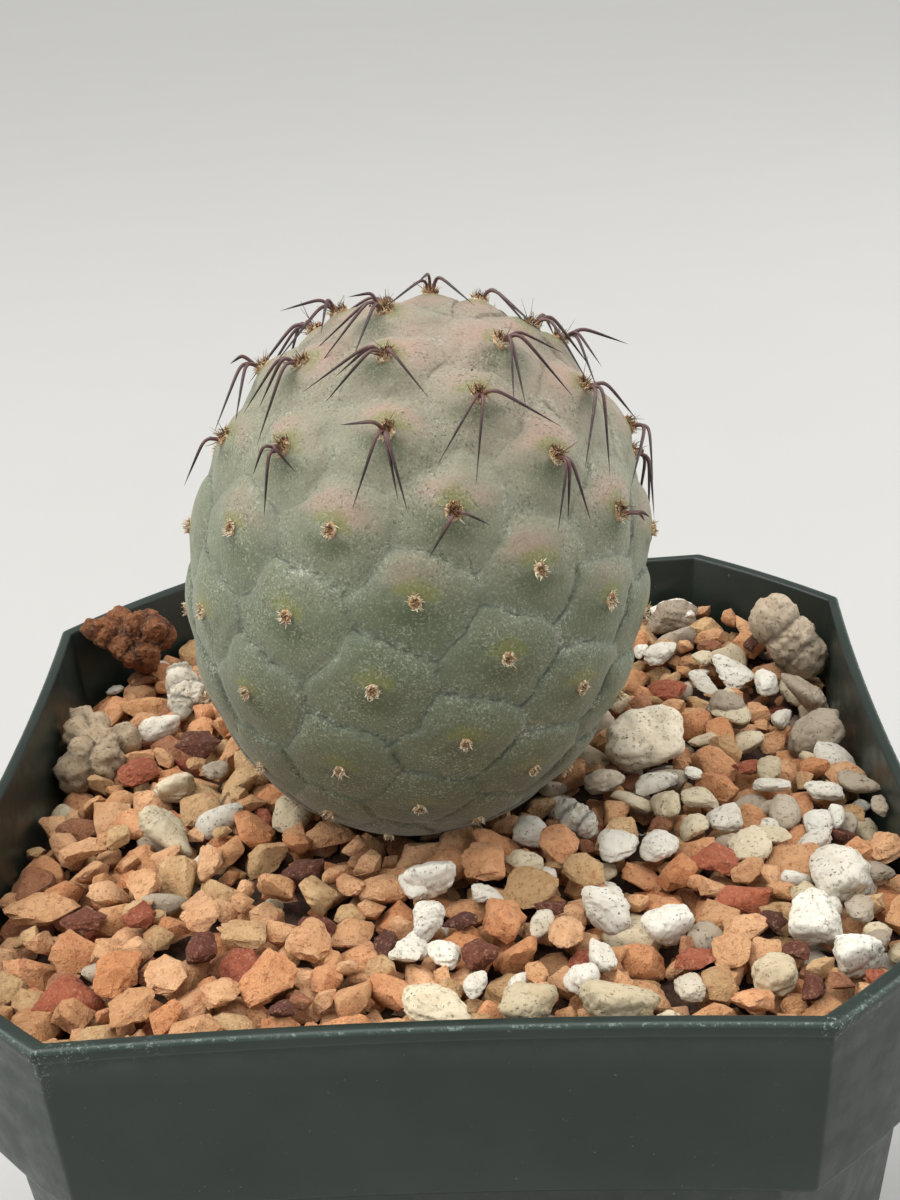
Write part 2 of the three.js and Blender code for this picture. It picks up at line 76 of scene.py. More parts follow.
# Pot: half widths of a square with cut corners
POT_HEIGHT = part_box("pot")[1].z / MM
RIM_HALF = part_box("pot")[1].x / MM
STRAIGHT_HALF = 34.6
SIDE_BOW = 1.3
CORNER_BULGE = 0.4
RIM_WIDTH = 1.4
LIP_HEIGHT = 1.5
LIP_STEP = 0.25
COLLAR_HEIGHT = 20
COLLAR_TAPER = 1.3
COLLAR_STEP = 3.4
BASE_HALF = 40
WALL = 1.5
FOOT_HEIGHT = 2
FOOT_WIDTH = 4
FLOOR_THICKNESS = 1.6
SIDE_STEPS = 26
CORNER_STEPS = 10
CORNER_ROUNDING = 0.3
POT_SHINE = 0.4
DRAIN_RADIUS = 4
DRAIN_PLACE = 24
DRAIN_SIDES = 24
# Places where the pot is rubbed: a point, how far the rubbing reaches, and how strong it is
RUBBED = [
    ((-34.4, -50.5, 88), 1.8, 0.9), ((-31, -50.4, 88.7), 2.6, 0.7), ((-24, -50, 88.9), 3, 0.6),
    ((-34.4, -50.5, 84.5), 1.6, 0.6), ((30.5, -50.3, 86.5), 1.6, 0.8), ((34.6, -50.5, 88.5), 1.8, 0.9),
    ((42, -43, 85.5), 2.2, 0.7), ((43, -42, 78), 2.4, 0.6), ((28, -50.3, 85), 1.4, 0.6),
    ((38, -47, 88), 3, 0.6),
]
# Tones are given as on the screen
PLASTIC = {
    "dark": (30, 40, 35), "green": (36, 46, 41), "haze": (72, 80, 74), "dust": (130, 136, 128),
    "scuff": (150, 170, 158), "chip": (140, 160, 148), "rim": (90, 112, 104),
}

# Grit
DEPTH_FRONT = 3
DEPTH_BACK = 6
LEFT_DIP = 4
LEFT_DIP_START = 24
RIGHT_DIP = 5
RIGHT_DIP_PLACE = (48, 17)
RIGHT_DIP_RADIUS = 10
HEAP_DEPTH = 5.8
BED_DEPTH = 4.2
BED_GAP = 0.4  # between the bed and the pot's walls
BED_SIDES = 120
BED_RINGS = 44
FILL_RADIUS = (0.95, 2.45)
FILL_SHARE = 0.66
OUTLINE_SHARE = 0.93  # the pot's area, against a square with whole corners
STEM_HOLE = 11  # radius that the stem takes up in the heap
BALL_SHARE = 0.92  # a ball that stands for a stone, against the stone's mean half width
SETTLE_ROUNDS = 160
SETTLE_REACH = 0.8  # the furthest that a ball moves in a round
SETTLE_SHARE = 0.8
WALL_GAP = 0.8

# Stem, as a spheroid under its tubercles
STEM_RADIUS = 22.9
STEM_HALF_HEIGHT = 27.4
STEM_CENTRE = np.array([-1.3, 0, POT_HEIGHT + 20.8])
STEM_LEAN = 11.6
ROOT_RADIUS = 4
ROOT_LENGTH = 24
ROOT_SHAPE = [(1, 0), (0.7, 0.5), (0.5, 0.97), (0.3, 1)]  # shares of its radius and length

# Areoles
PER_WHORL = 7
WHORL_STEP = 360 / PER_WHORL
WHORL_TWIST = 3.1
FIRST_PHASE = -49
WHORLS = [145, 134.5, 124.4, 114.3, 103, 92.8, 83.5, 74, 65.4, 56, 44.5]
WHORL_SLOPE = 6
CROWN = [
    (11, 32), (69, 33), (113, 27), (165, 31), (-146, 31), (-112, 30),
    (-34, 27), (34, 17), (100, 17), (160, 13.5), (-153, 14.5), (-75, 17),
]
SPINY_FROM = 9

# Areoles that stand a little off the rule in the photograph: azimuth and degrees from the apex
STRAYS = {
    (10, 4): (95.9, 49), (10, 1): (-67.2, 37.9), (9, 1): (-99.3, 48.7),
    (8, 2): (-76.2, 60.5), (10, 3): (35.9, 45), (4, 5): (-40.5, 103.6),
}

# Tubercles
MOUND = 1.4
CROWN_MOUND = 0.5
CREASE_WIDTH = 1.2
CROWN_CREASE_WIDTH = 2.2
CREASE_DEPTH = 0.27
STEEP_CREASE = 0.25
CROWN_CALM = 0.75
FOOT_CALM = 0.7
CREASE_TURN = (0.15, 0.45)
CORNER_WIDTH = 0.7
SHOULDER = 0.22
ARCH = 0.4
WOBBLE = 0.24
NOSE = 0.4
CROWN_NOSE = 0.45
NOSE_ABOVE = 4
NOSE_BELOW = 2.2
STEM_COLUMNS = 392
STEM_ROWS = 226
FOOT_POLAR = 150
FOOT_ROWS = 12
SNAP_SHARE = 0.45  # of the space between two columns
STEM_SHEEN = {
    "Subsurface Weight": 0.06, "Subsurface Radius": (0.0012, 0.0016, 0.0007), "Subsurface Scale": 1.0,
    "Sheen Weight": 0.3, "Sheen Roughness": 0.45, "Sheen Tint": (0.9, 0.9, 0.82, 1),
}

# Tones of the skin. Some also carry painted shade: the darker green under the areoles, the foot tone that
# darkens the stem towards the grit, and the dark lines in the creases
SKIN = {
    "deep green": (88, 97, 71), "green": (103, 111, 86), "olive": (114, 118, 90), "bloom": (99, 106, 91),
    "beige": (142, 138, 117), "crest pink": (163, 131, 116), "crown pink": (162, 132, 118),
    "green and painted shade": (68, 79, 46), "yellow green": (116, 117, 54), "earth": (86, 76, 50),
    "foot": (180, 182, 158), "light grain": (160, 164, 143), "dark grain": (58, 68, 46),
    "powder": (190, 191, 176), "crease": (60, 67, 60),
}

# Spines whose tips the photograph shows, by areole: its pixels, and the tip's height where it stands off
PHOTO_TIPS = {
    (8, 2): [(184, 486, 2)],
    (9, 1): [(230, 364, 3), (214, 433, 2), (235, 424)],
    (9, 2): [(253, 475, 1.5), (264, 517), (296, 473)],
    (9, 3): [(429, 558), (490, 525)],
    (9, 4): [(650, 517, 1.5), (645, 521)],
    (10, 1): [(243, 414), (259, 408), (257, 445)],
    (10, 2): [(340, 425, 2), (352, 510), (398, 500), (408, 513)],
    (10, 3): [(558, 532), (568, 522), (591, 522, 1.5)],
    (10, 4): [(653, 480, 2), (631, 487)],
    (11, 0): [(437, 466), (476, 485), (562, 427, 2)],
    (11, 1): [(637, 420, 3), (585, 470), (610, 476)],
    (11, 2): [(628, 344, 5), (602, 367, 3), (599, 394)],
    (11, 5): [(280, 311, 4), (274, 365, 2), (321, 334)],
    (11, 6): [(303, 392), (335, 377), (324, 404), (428, 397)],
    (11, 7): [(514, 405), (526, 407), (565, 354, 3), (574, 398, 2)],
    (11, 9): [(543, 333, 2), (540, 340)],
    (11, 10): [(379, 312, 1.5), (418, 282, 4), (475, 306, 1.5)],
    (11, 11): [(348, 297, 4), (310, 355), (317, 368), (353, 358)],
}
SPINE_RADIUS = 0.19
SPINE_RISE = 1.9
SPINE_ELBOW = 0.07
SPINE_TIP = 0.9
SPINE_FAN = 48
SPINE_LENGTH = (7, 9.5)
SPINE_STEPS = 18
SPINE_SIDES = 8
TIP_SEARCH = np.arange(-14, 4, 0.1)  # along a pixel's ray, from where it passes the areole
PAD_RADIUS = 0.8
BARE_PAD_RADIUS = 0.62
PAD_OVAL = 1.25
DOME_SIDES = 14
# Each ring of the felt under the hairs: share of the pad's radius, height and shade
DOME_RINGS = [(1.1, -0.3, 0.3), (1.0, 0.02, 0.35), (0.85, 0.2, 0.4), (0.6, 0.26, 0.1), (0.3, 0.16, 0.0)]
BARE_PAD = {"wool": 44, "bristles": 24, "tallest": 0.45, "dusk": 0.15}
SPINY_PAD = {"wool": 76, "bristles": 50, "tallest": 0.9, "dusk": 0.5}
HAIR_STEPS = 4
HAIR_SIDES = 3
# Long bristles among the spines: ring, number, length, thickness, spread and tone
LONG_BRISTLES = ((0, 0.5), 4, (0.8, 1.7), 0.07, 0.7, (0.0, 0.1))
LOW_WHORLS = 4  # their pads are smaller
LOW_PAD_SHARE = 0.85
HORN = {
    "wool foot": (66, 42, 28), "wool": (180, 146, 106), "wool tip": (230, 220, 194),
    "wool stain": (140, 98, 62), "spine foot": (150, 98, 66), "spine": (92, 64, 62),
    "spine tip": (30, 16, 17), "spine sheen": (112, 88, 90),
}

# Stones that the photograph shows plainly: kind, middle and size, in its pixels
PHOTO_STONES = [
    ("white", 674, 613, 46, 25), ("white", 661, 654, 36, 24), ("white", 641, 650, 14, 16),
    ("beige", 703, 658, 22, 14), ("white", 734, 673, 40, 28), ("white", 766, 682, 25, 27),
    ("white", 703, 681, 28, 18), ("beige", 727, 711, 42, 38), ("white", 782, 719, 22, 34),
    ("beige", 770, 770, 28, 26), ("white", 694, 774, 20, 14), ("maroon", 751, 644, 16, 16),
    ("brown", 709, 646, 24, 14), ("red", 669, 690, 40, 22), ("brown", 640, 705, 24, 24),
    ("red", 747, 767, 30, 15), ("white", 531, 831, 38, 27), ("white", 619, 845, 42, 32),
    ("white", 413, 886, 27, 26), ("white", 488, 893, 35, 20), ("beige", 524, 861, 40, 20),
    ("white", 549, 875, 17, 17), ("white", 406, 952, 36, 24), ("white", 444, 954, 36, 30),
    ("speckled", 542, 924, 28, 24), ("white", 602, 956, 28, 32), ("white", 582, 976, 38, 38),
    ("white", 517, 982, 19, 24), ("white", 475, 984, 24, 24), ("maroon", 461, 920, 36, 16),
    ("maroon", 551, 908, 33, 15), ("maroon", 481, 953, 40, 35), ("orange", 504, 918, 46, 44),
    ("olive", 529, 888, 60, 36), ("orange", 483, 863, 44, 42), ("orange", 559, 846, 38, 42),
    ("olive", 584, 870, 44, 30), ("tan", 566, 932, 36, 44), ("tan", 537, 972, 25, 42),
    ("white", 657, 784, 50, 22), ("beige", 665, 803, 34, 36), ("beige", 699, 797, 42, 25),
    ("beige", 694, 825, 30, 24), ("white", 724, 818, 36, 28), ("white", 772, 785, 38, 18),
    ("grey", 786, 811, 34, 36), ("white", 824, 790, 42, 22), ("grey", 857, 784, 36, 24),
    ("white", 818, 822, 28, 24), ("white", 815, 842, 38, 26), ("beige", 772, 836, 38, 24),
    ("beige", 749, 847, 44, 32), ("white", 659, 845, 40, 32), ("red", 716, 859, 52, 28),
    ("grey", 861, 911, 30, 28), ("grey", 877, 941, 26, 30), ("grey", 879, 870, 30, 24),
    ("tan", 884, 845, 36, 30), ("grey", 879, 806, 17, 30), ("maroon", 774, 920, 28, 26),
    ("maroon", 797, 950, 30, 24), ("maroon", 813, 986, 26, 36), ("brown", 841, 982, 30, 20),
    ("speckled", 690, 988, 30, 34), ("olive", 720, 984, 36, 34), ("orange", 752, 1000, 46, 30),
    ("red", 695, 957, 48, 18), ("tan", 745, 929, 54, 34), ("tan", 731, 950, 40, 38),
    ("brown", 130, 672, 30, 22), ("white", 153, 661, 22, 18), ("red", 139, 774, 40, 32),
    ("maroon", 199, 745, 46, 28), ("grey", 216, 771, 28, 22), ("white", 115, 690, 18, 10),
    ("tan", 42, 910, 78, 30), ("maroon", 84, 920, 50, 20), ("red", 139, 916, 34, 26),
    ("maroon", 202, 948, 32, 32), ("orange", 269, 979, 54, 54), ("maroon", 282, 1009, 34, 16),
    ("orange", 118, 973, 46, 46), ("tan", 166, 975, 48, 38), ("olive", 242, 933, 52, 26),
    ("tan", 130, 1009, 50, 42), ("tan", 202, 914, 42, 32), ("tan", 84, 851, 50, 24),
    ("olive", 118, 836, 26, 32), ("tan", 219, 994, 46, 30), ("tan", 143, 885, 38, 28),
    ("tan", 311, 941, 50, 42),
]

# Lobes of the loose stones that are not simple lumps: middle and radius, the stone's core first
LOBES = {
    "clay_clump": [
        (-41.2, 35.6, 87.2, 2.9), (-46.2, 34.3, 89.2, 1.3), (-44.6, 34.6, 88.5, 1.9),
        (-39.0, 36.0, 88.4, 2.2), (-37.8, 35.8, 86.9, 1.9), (-39.8, 33.8, 86.0, 1.9),
        (-42.4, 33.8, 87.0, 1.9), (-43.0, 36.4, 89.2, 1.7), (-40.8, 34.6, 89.4, 1.7),
        (-38.6, 34.2, 88.6, 1.6), (-41.4, 33.0, 85.6, 1.5), (-40.6, 37.2, 82.8, 1.9),
    ],
    "grey_pumice_left_wall": [
        (-42.6, 14.4, 82.2, 2.9), (-45.6, 20.0, 84.0, 1.6), (-45.4, 16.8, 83.3, 2.2),
        (-39.8, 15.8, 82.5, 2.2), (-41.2, 11.6, 82.3, 2.3), (-44.6, 10.6, 81.5, 2.5),
        (-43.6, 13.6, 80.8, 3.0), (-43.4, 17.6, 83.6, 1.9), (-43.8, 12.2, 83.4, 1.8),
    ],
    "grey_pumice_right_back": [
        (43.7, 29.4, 85.6, 3.3), (41.8, 30.6, 87.9, 3.2), (45.3, 28.2, 83.9, 2.9), (44.0, 30.0, 83.0, 2.3),
    ],
    "white_pumice_left": [
        (-33.4, 25.6, 83.2, 2.2), (-34.1, 27.3, 84.2, 2.1), (-33.9, 24.2, 82.8, 1.7),
        (-33.9, 22.9, 82.3, 1.2), (-32.8, 27.0, 82.8, 1.9), (-34.4, 28.6, 84.9, 1.5),
    ],
    "white_pumice_beside_stem": [(14.5, -10.5, 85.2, 1.7), (13.7, -9.6, 85.6, 1.5), (15.3, -11.3, 84.9, 1.4)],
}

# Forms of stones
LOBED_LUMPS = 0.05
# How much painted shade darkens a lobed stone in the crevices between its lobes
PAINTED_CREVICE_SHADE = 0.68
LOBE_BLEND = 10  # the higher, the sharper the crevices between lobes
CREVICE_DEPTH = 0.06
LOBED_PITS = 40
ROUND_PITS = 60
SMALL_PITS = 8
PIT_WIDTH = (0.05, 0.13)
PIT_DEPTH = (0.02, 0.06)
PUMICE_LUMPS = 0.06
THICKNESS = 0.72  # of a stone in the photograph, against its smaller side
HULL_CORNERS = (14, 21)
FLAT_ANGLE = 16
BEVEL = 0.09
LONG_EDGE = 0.32
SHARP_ANGLE = 38
BROKEN_FORMS = 60
ROUNDED_FORMS = 24
FINE_RADIUS = 1.35  # broken stones above this get a finer form
SMALL_SIZE = ((1.1, 0.9, 0.62), (1.6, 1.2, 0.92))  # length, width and thickness, least and most
PHOTO_TILT = 6
SMALL_TILT = 20

# Colours of the stones, as light and dark shades that each stone is drawn between
STONE_SHADES = {
    "tan": [(242, 192, 146), (212, 158, 110)],
    "orange": [(238, 178, 130), (216, 148, 98)],
    "olive": [(224, 188, 140), (196, 158, 112)],
    "brown": [(184, 128, 92), (148, 98, 68)],
    "red": [(192, 110, 78), (154, 82, 58)],
    "maroon": [(128, 72, 52), (92, 52, 40)],
    "white": [(224, 220, 208), (204, 198, 184)],
    "beige": [(208, 195, 168), (188, 173, 143)],
    "grey": [(180, 167, 148), (156, 142, 124)],
    "speckled": [(206, 196, 176), (168, 156, 140)],
}
# Tones of a few loose stones, given one by one. The large white pumice has a lighter tone as painted light,
# against the shade of the stem that falls on it
LOOSE_TONES_AND_PAINTED_LIGHT = {
    "clay_clump": (144, 91, 56), "grey_pumice_left_wall": (168, 149, 124),
    "grey_pumice_right_back": (182, 166, 144), "white_pumice_large": (236, 224, 200),
    "white_pumice_left": (200, 192, 174),
}
PALE_KINDS = ("white", "beige", "grey", "speckled")
# The kinds of small stones, with the share of each
PUMICE_KINDS = {"white": 0.4, "beige": 0.4, "grey": 0.2}
CLAY_KINDS = {"tan": 0.54, "orange": 0.19, "olive": 0.14, "brown": 0.07, "red": 0.04, "maroon": 0.02}
EARTH = {
    "clay patch": (222, 196, 174), "clay red": (178, 98, 66), "clay dust": (236, 208, 172),
    "clay grime": (168, 126, 98), "pumice patch": (214, 200, 180), "pumice pore shade": (150, 140, 124),
    "pumice speck": (62, 56, 50), "wet soil": (38, 26, 20), "soil": (84, 58, 42),
}

# Room
FLOOR_RADIUS = 7
FLOOR_TONES = [(179, 179, 177), (180, 180, 178)]
SKY = (0.95, 0.96, 0.97, 1)
SKY_STRENGTH = 0.42
POT_MIDDLE = (0, 0, 0.1)
# Each lamp's kind, place and aim in metres, power, tint and own setting
LAMPS = [
    ("SUN", (-0.2, -0.15, 1), (0, 0, 0), 2.6, (1, 0.985, 0.95), ("angle", math.radians(70))),
    ("AREA", (-0.55, 0.1, 0.75), POT_MIDDLE, 3.0, (1, 0.98, 0.95), ("size", 0.5)),
    ("AREA", (0.75, 0.3, 0.55), POT_MIDDLE, 3.4, (1, 0.99, 0.97), ("size", 0.6)),
    ("AREA", (-0.75, -0.4, 0.3), POT_MIDDLE, 2.1, (1, 1, 1), ("size", 0.4)),
    ("AREA", (0.8, -0.35, 0.3), POT_MIDDLE, 1.2, (1, 1, 1), ("size", 0.4)),
]


# Small helpers


def smooth(low, high, value):
    share = np.clip((value - low) / (high - low), 0, 1)
    return share * share * (3 - 2 * share)


def mixed(low, high, share):
    return low + (high - low) * share


def unit(vectors):
    return vectors / np.linalg.norm(vectors, axis=-1, keepdims=True)


def dot(a, b):
    return (a * b).sum(-1)


def linear(colour):
    """A colour given as 0 to 255 on the screen, as the light that a material needs."""
    share = np.asarray(colour, float) / 255
    return np.where(share <= 0.04045, share / 12.92, ((share + 0.055) / 1.055) ** 2.4)


def turned(points, angle, axis):
    """Points turned about an axis, by degrees."""
    matrix = np.array(Matrix.Rotation(math.radians(angle), 3, axis))
    return points @ matrix.T


def ripples(rng, points, size, octaves=3):
    """Smooth noise of about -1 to 1 at points, whose waves start so wide."""
    total = np.zeros(len(points))
    for octave in range(octaves):
        waves = rng.normal(0, 2 * math.pi / (size * 0.5**octave), (6, 3))
        phases = rng.uniform(0, 2 * math.pi, 6)
        total += 0.6**octave * np.sin(points @ waves.T + phases).sum(1) / 3
    return total


def ring_faces(rings, columns):
    """Quads between closed rings of points that lie one after another."""
    row, column = np.meshgrid(np.arange(rings - 1), np.arange(columns), indexing="ij")
    beside = (column + 1) % columns
    quads = [row * columns + column, row * columns + beside]
    quads += [(row + 1) * columns + beside, (row + 1) * columns + column]
    return np.stack(quads, -1).reshape(-1, 4)


def closed_faces(rings, columns):
    """The same, with a face over each end."""
    ends = [np.arange(columns)[::-1], (rings - 1) * columns + np.arange(columns)]
    return list(ring_faces(rings, columns)) + ends


def add_object(name, points, faces, paints, slot, replaces=(), **attributes):
    """A piece that rides on the root. Its attributes are one number or colour a point."""
    mesh = bpy.data.meshes.new(name)
    mesh.from_pydata((np.asarray(points) * MM).tolist(), [], [list(face) for face in faces])
    for key, values in attributes.items():
        values = np.asarray(values, float)
        if values.ndim == 1:
            layer = mesh.attributes.new(key, "FLOAT", "POINT")
            layer.data.foreach_set("value", values)
        else:
            layer = mesh.color_attributes.new(key, "FLOAT_COLOR", "POINT")
            opaque = np.concatenate([values, np.ones((len(values), 1))], 1)
            layer.data.foreach_set("color", opaque.ravel())
    for paint in paints:
        mesh.materials.append(paint)
    mesh.shade_smooth()
    piece = bpy.data.objects.new(name, mesh)
    bpy.context.scene.collection.objects.link(piece)
    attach(piece, "root")
    if replaces:
        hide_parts(*replaces)
    return piece


def join_parts(parts):
    """Several lots of points, faces and attributes as one."""
    offset = 0
    points, faces, attributes = [], [], {}
    for part_points, part_faces, part_attributes in parts:
        points.append(part_points)
        faces.extend((np.asarray(face) + offset) for face in part_faces)
        for key, values in part_attributes.items():
            attributes.setdefault(key, []).append(values)
        offset += len(part_points)
    return np.concatenate(points), faces, {key: np.concatenate(v) for key, v in attributes.items()}


class Paint:
    """A node material, painted in layers, with short ways to make the nodes that feed its shader."""

    def __init__(self, name, roughness, first=(0, 0, 0)):
        self.material = bpy.data.materials.new(name)
        self.material.use_nodes = True
        self.tree = self.material.node_tree
        self.shader = self.tree.nodes["Principled BSDF"]
        self.shader.inputs["Roughness"].default_value = roughness
        self.place = self.node("ShaderNodeTexCoord").outputs["Object"]
        self.layers = (*linear(first), 1)

    def feed(self, socket, value):
        if isinstance(value, bpy.types.NodeSocket):
            self.tree.links.new(value, socket)
        else:
            socket.default_value = value

    def node(self, kind, inputs=(), **settings):
        made = self.tree.nodes.new(kind)
        for key, value in settings.items():
            setattr(made, key, value)
        for key, value in dict(inputs).items():
            self.feed(made.inputs[key], value)
        return made

    def attribute(self, name, output="Fac"):
        return self.node("ShaderNodeAttribute", attribute_name=name).outputs[output]

    def noise(self, size, detail=3, roughness=0.6, distortion=0.0):
        """Noise whose features are so many millimetres wide."""
        inputs = {"Vector": self.place, "Scale": 1 / (size * MM), "Detail": detail}
        inputs.update({"Roughness": roughness, "Distortion": distortion})
        return self.node("ShaderNodeTexNoise", inputs).outputs["Fac"]

    def ramp(self, value, low, high, start=0.0, end=1.0):
        inputs = {"Value": value, "From Min": low, "From Max": high, "To Min": start, "To Max": end}
        return self.node("ShaderNodeMapRange", inputs, interpolation_type="SMOOTHSTEP").outputs["Result"]

    def patches(self, noise, ramp):
        """A ramp over noise."""
        return self.ramp(self.noise(*noise), *ramp)

    def times(self, *values):
        product = values[0]
        for value in values[1:]:
            product = self.node("ShaderNodeMath", {0: product, 1: value}, operation="MULTIPLY").outputs[0]
        return product

    def over(self, tone, *shares, blend_type="MIX"):
        """Lays a colour, given as on the screen, over the layers so far, by the product of the shares."""
        inputs = {0: self.times(*shares), 6: self.layers, 7: (*linear(tone), 1)}
        self.layers = self.node("ShaderNodeMix", inputs, data_type="RGBA", blend_type=blend_type).outputs[2]
        self.feed(self.shader.inputs["Base Color"], self.layers)

    def stain(self, tone, *shares):
        """Multiplies the layers so far by a colour."""
        self.over(tone, *shares, blend_type="MULTIPLY")

    def bump(self, height, depth):
        """Bumps so many millimetres high, over those made before."""
        inputs = {"Height": height, "Distance": depth * MM, "Strength": 1.0}
        normal = self.shader.inputs["Normal"]
        if normal.is_linked:
            inputs["Normal"] = normal.links[0].from_socket
        self.feed(normal, self.node("ShaderNodeBump", inputs).outputs["Normal"])


# Camera


def camera_axes():
    """The camera's right, up and forward."""
    azimuth, pitch, roll = map(math.radians, (CAMERA_AZIMUTH, CAMERA_PITCH, CAMERA_ROLL))
    level = math.cos(pitch)
    forward = np.array([-math.sin(azimuth) * level, math.cos(azimuth) * level, -math.sin(pitch)])
    right = unit(np.cross(forward, [0, 0, 1]))
    up = np.cross(right, forward)
    cosine, sine = math.cos(roll), math.sin(roll)
    return cosine * right + sine * up, cosine * up - sine * right, forward


def pixel_ray(x, y):
    right, up, forward = camera_axes()
    across, high = (x - PHOTO_MIDDLE[0]) / FOCAL_PIXELS, (PHOTO_MIDDLE[1] - y) / FOCAL_PIXELS
    return forward + across * right + high * up


def make_camera():
    data = bpy.data.cameras.new("camera")
    data.sensor_width = SENSOR
    data.lens = SENSOR * FOCAL_PIXELS / PHOTO_HEIGHT
    data.clip_start, data.clip_end = 0.01, 50
    camera = bpy.data.objects.new("camera", data)
    right, up, forward = camera_axes()
    matrix = Matrix(np.stack([right, up, -forward], 1).tolist()).to_4x4()
    matrix.translation = Vector(CAMERA_PLACE * MM)
    camera.matrix_world = matrix
    bpy.context.scene.collection.objects.link(camera)
    bpy.context.scene.camera = camera


# Stem


def on_stem(azimuth, polar):
    """Points of the smooth stem, in its own frame, by degrees."""
    azimuth, polar = np.radians(azimuth), np.radians(polar)
    across = STEM_RADIUS * np.sin(polar)
    height = STEM_HALF_HEIGHT * np.cos(polar)
    return np.stack([across * np.sin(azimuth), -across * np.cos(azimuth), height + 0 * azimuth], -1)


def out_of_stem(points):
    return unit(points / np.array([STEM_RADIUS**2, STEM_RADIUS**2, STEM_HALF_HEIGHT**2]))


def back_on_stem(points):
    scaled = points / np.array([STEM_RADIUS, STEM_RADIUS, STEM_HALF_HEIGHT])
    return points / np.linalg.norm(scaled, axis=-1, keepdims=True)


def to_pot(points):
    """From the stem's own frame to the pot's."""
    return turned(points, STEM_LEAN, "Y") + STEM_CENTRE


def from_pot(points):
    return turned(points - STEM_CENTRE, -STEM_LEAN, "Y")


def sloped(azimuth, polar):
    return polar + WHORL_SLOPE * np.cos(np.radians(polar)) * np.sin(np.radians(azimuth))


def place_areoles():
    """Each areole's whorl, place in the whorl, azimuth and degrees from the apex."""
    places = [(len(WHORLS), k, azimuth, polar) for k, (azimuth, polar) in enumerate(CROWN)]
    for whorl, polar in enumerate(WHORLS):
        for k in range(PER_WHORL):
            azimuth = FIRST_PHASE + whorl * (WHORL_STEP / 2 + WHORL_TWIST) + k * WHORL_STEP
            places.append((whorl, k, *STRAYS.get((whorl, k), (azimuth, sloped(azimuth, polar)))))
    return places


AREOLES = place_areoles()
AREOLE_POINTS = on_stem(*np.array([place[2:] for place in AREOLES]).T)
AREOLE_OUT = out_of_stem(AREOLE_POINTS)
AREOLE_RIGHT = unit(np.cross([0, 0, 1], AREOLE_OUT))
AREOLE_DOWN = np.cross(AREOLE_RIGHT, AREOLE_OUT)
STRAIGHT_DOWN = turned(np.array([0, 0, -1]), -STEM_LEAN, "Y")
AREOLE_PLUMB = unit(STRAIGHT_DOWN - AREOLE_OUT * dot(STRAIGHT_DOWN, AREOLE_OUT)[:, None])


def survey(points):
    """Where points of the smooth stem lie among the areoles: how far from a crease, the same with the
    creases' meetings rounded, how far from their areole and below it, how level the crease runs, and the
    two nearest areoles."""
    sway = [ripples(np.random.default_rng(40 + axis), points, 6, 3) for axis in range(3)]
    swayed = points + WOBBLE * np.stack(sway, 1)
    found = []
    for some in np.array_split(swayed, max(1, len(points) // 8000)):
        to = some[:, None] - AREOLE_POINTS
        away = np.linalg.norm(to, axis=-1)
        below = dot(to, AREOLE_DOWN)
        squeeze = ARCH * smooth(-0.2, 0.8, below / np.maximum(away, 1e-6))
        felt = np.sqrt(away**2 - squeeze * (away**2 - below**2))
        near = np.argpartition(felt, 3, axis=1)[:, :4]
        near = np.take_along_axis(near, np.argsort(np.take_along_axis(felt, near, 1), 1), 1)
        rest = np.take_along_axis(felt, near, 1)
        rest = rest[:, 1:] - rest[:, :1]
        weight = np.exp(-rest / CORNER_WIDTH)
        rounded = -CORNER_WIDTH * np.log(weight.sum(1))
        own = near[:, :1]
        across = unit(AREOLE_POINTS[near[:, 1:]] - AREOLE_POINTS[own])
        level = smooth(*CREASE_TURN, np.abs(dot(across, AREOLE_PLUMB[own])))
        level = (weight * level).sum(1) / weight.sum(1)
        columns = [rest[:, 0], np.maximum(rounded, 0), np.take_along_axis(away, own, 1)[:, 0]]
        columns += [np.take_along_axis(below, own, 1)[:, 0], level, near[:, 0], near[:, 1]]
        found.append(np.stack(columns, 1))
    edge, rounded, away, below, level, own, other = np.concatenate(found).T
    return edge, rounded, away, below, level, own.astype(int), other.astype(int)


def mound_height(points):
    return MOUND + CROWN_MOUND * smooth(0, STEM_HALF_HEIGHT, points[:, 2])


def relief(points, found):
    """The tubercles' height over points of the smooth stem."""
    _, rounded, away, below, level, _, _ = found
    height = points[:, 2] / STEM_HALF_HEIGHT
    crown, foot = smooth(0.1, 0.7, height), FOOT_CALM * smooth(-0.15, -0.75, height)
    shoulder = SHOULDER * (1 - np.maximum(CROWN_CALM * crown, foot)) * np.tanh(below / 3)
    nose = (NOSE + CROWN_NOSE * crown) * (1 - foot)
    nose = nose * np.exp(-((away / mixed(NOSE_ABOVE, NOSE_BELOW, smooth(-1.5, 1.5, below))) ** 2))
    near = rounded / mixed(CREASE_WIDTH, CROWN_CREASE_WIDTH, crown)
    crease = mixed(np.exp(-near), np.exp(-near**2), crown) * mixed(STEEP_CREASE, 1, level) * (1 - foot)
    return (mound_height(points) - shoulder) * (1 - CREASE_DEPTH * crease) + nose


def on_tubercles(points):
    return points + out_of_stem(points) * relief(points, survey(points))[:, None]


def snapped(points, reach):
    """Points of the smooth stem, with those that lie close to a crease moved onto it."""
    for _ in range(2):
        edge, _, _, _, _, own, other = survey(points)
        slope = unit(points - AREOLE_POINTS[own]) - unit(points - AREOLE_POINTS[other])
        out = out_of_stem(points)
        slope -= out * dot(slope, out)[:, None]
        steep = np.maximum(dot(slope, slope), 0.3)
        step = edge / steep
        move = np.where(step * np.sqrt(steep) < reach, step, 0)[:, None] * slope
        points = back_on_stem(points + move)
    return points


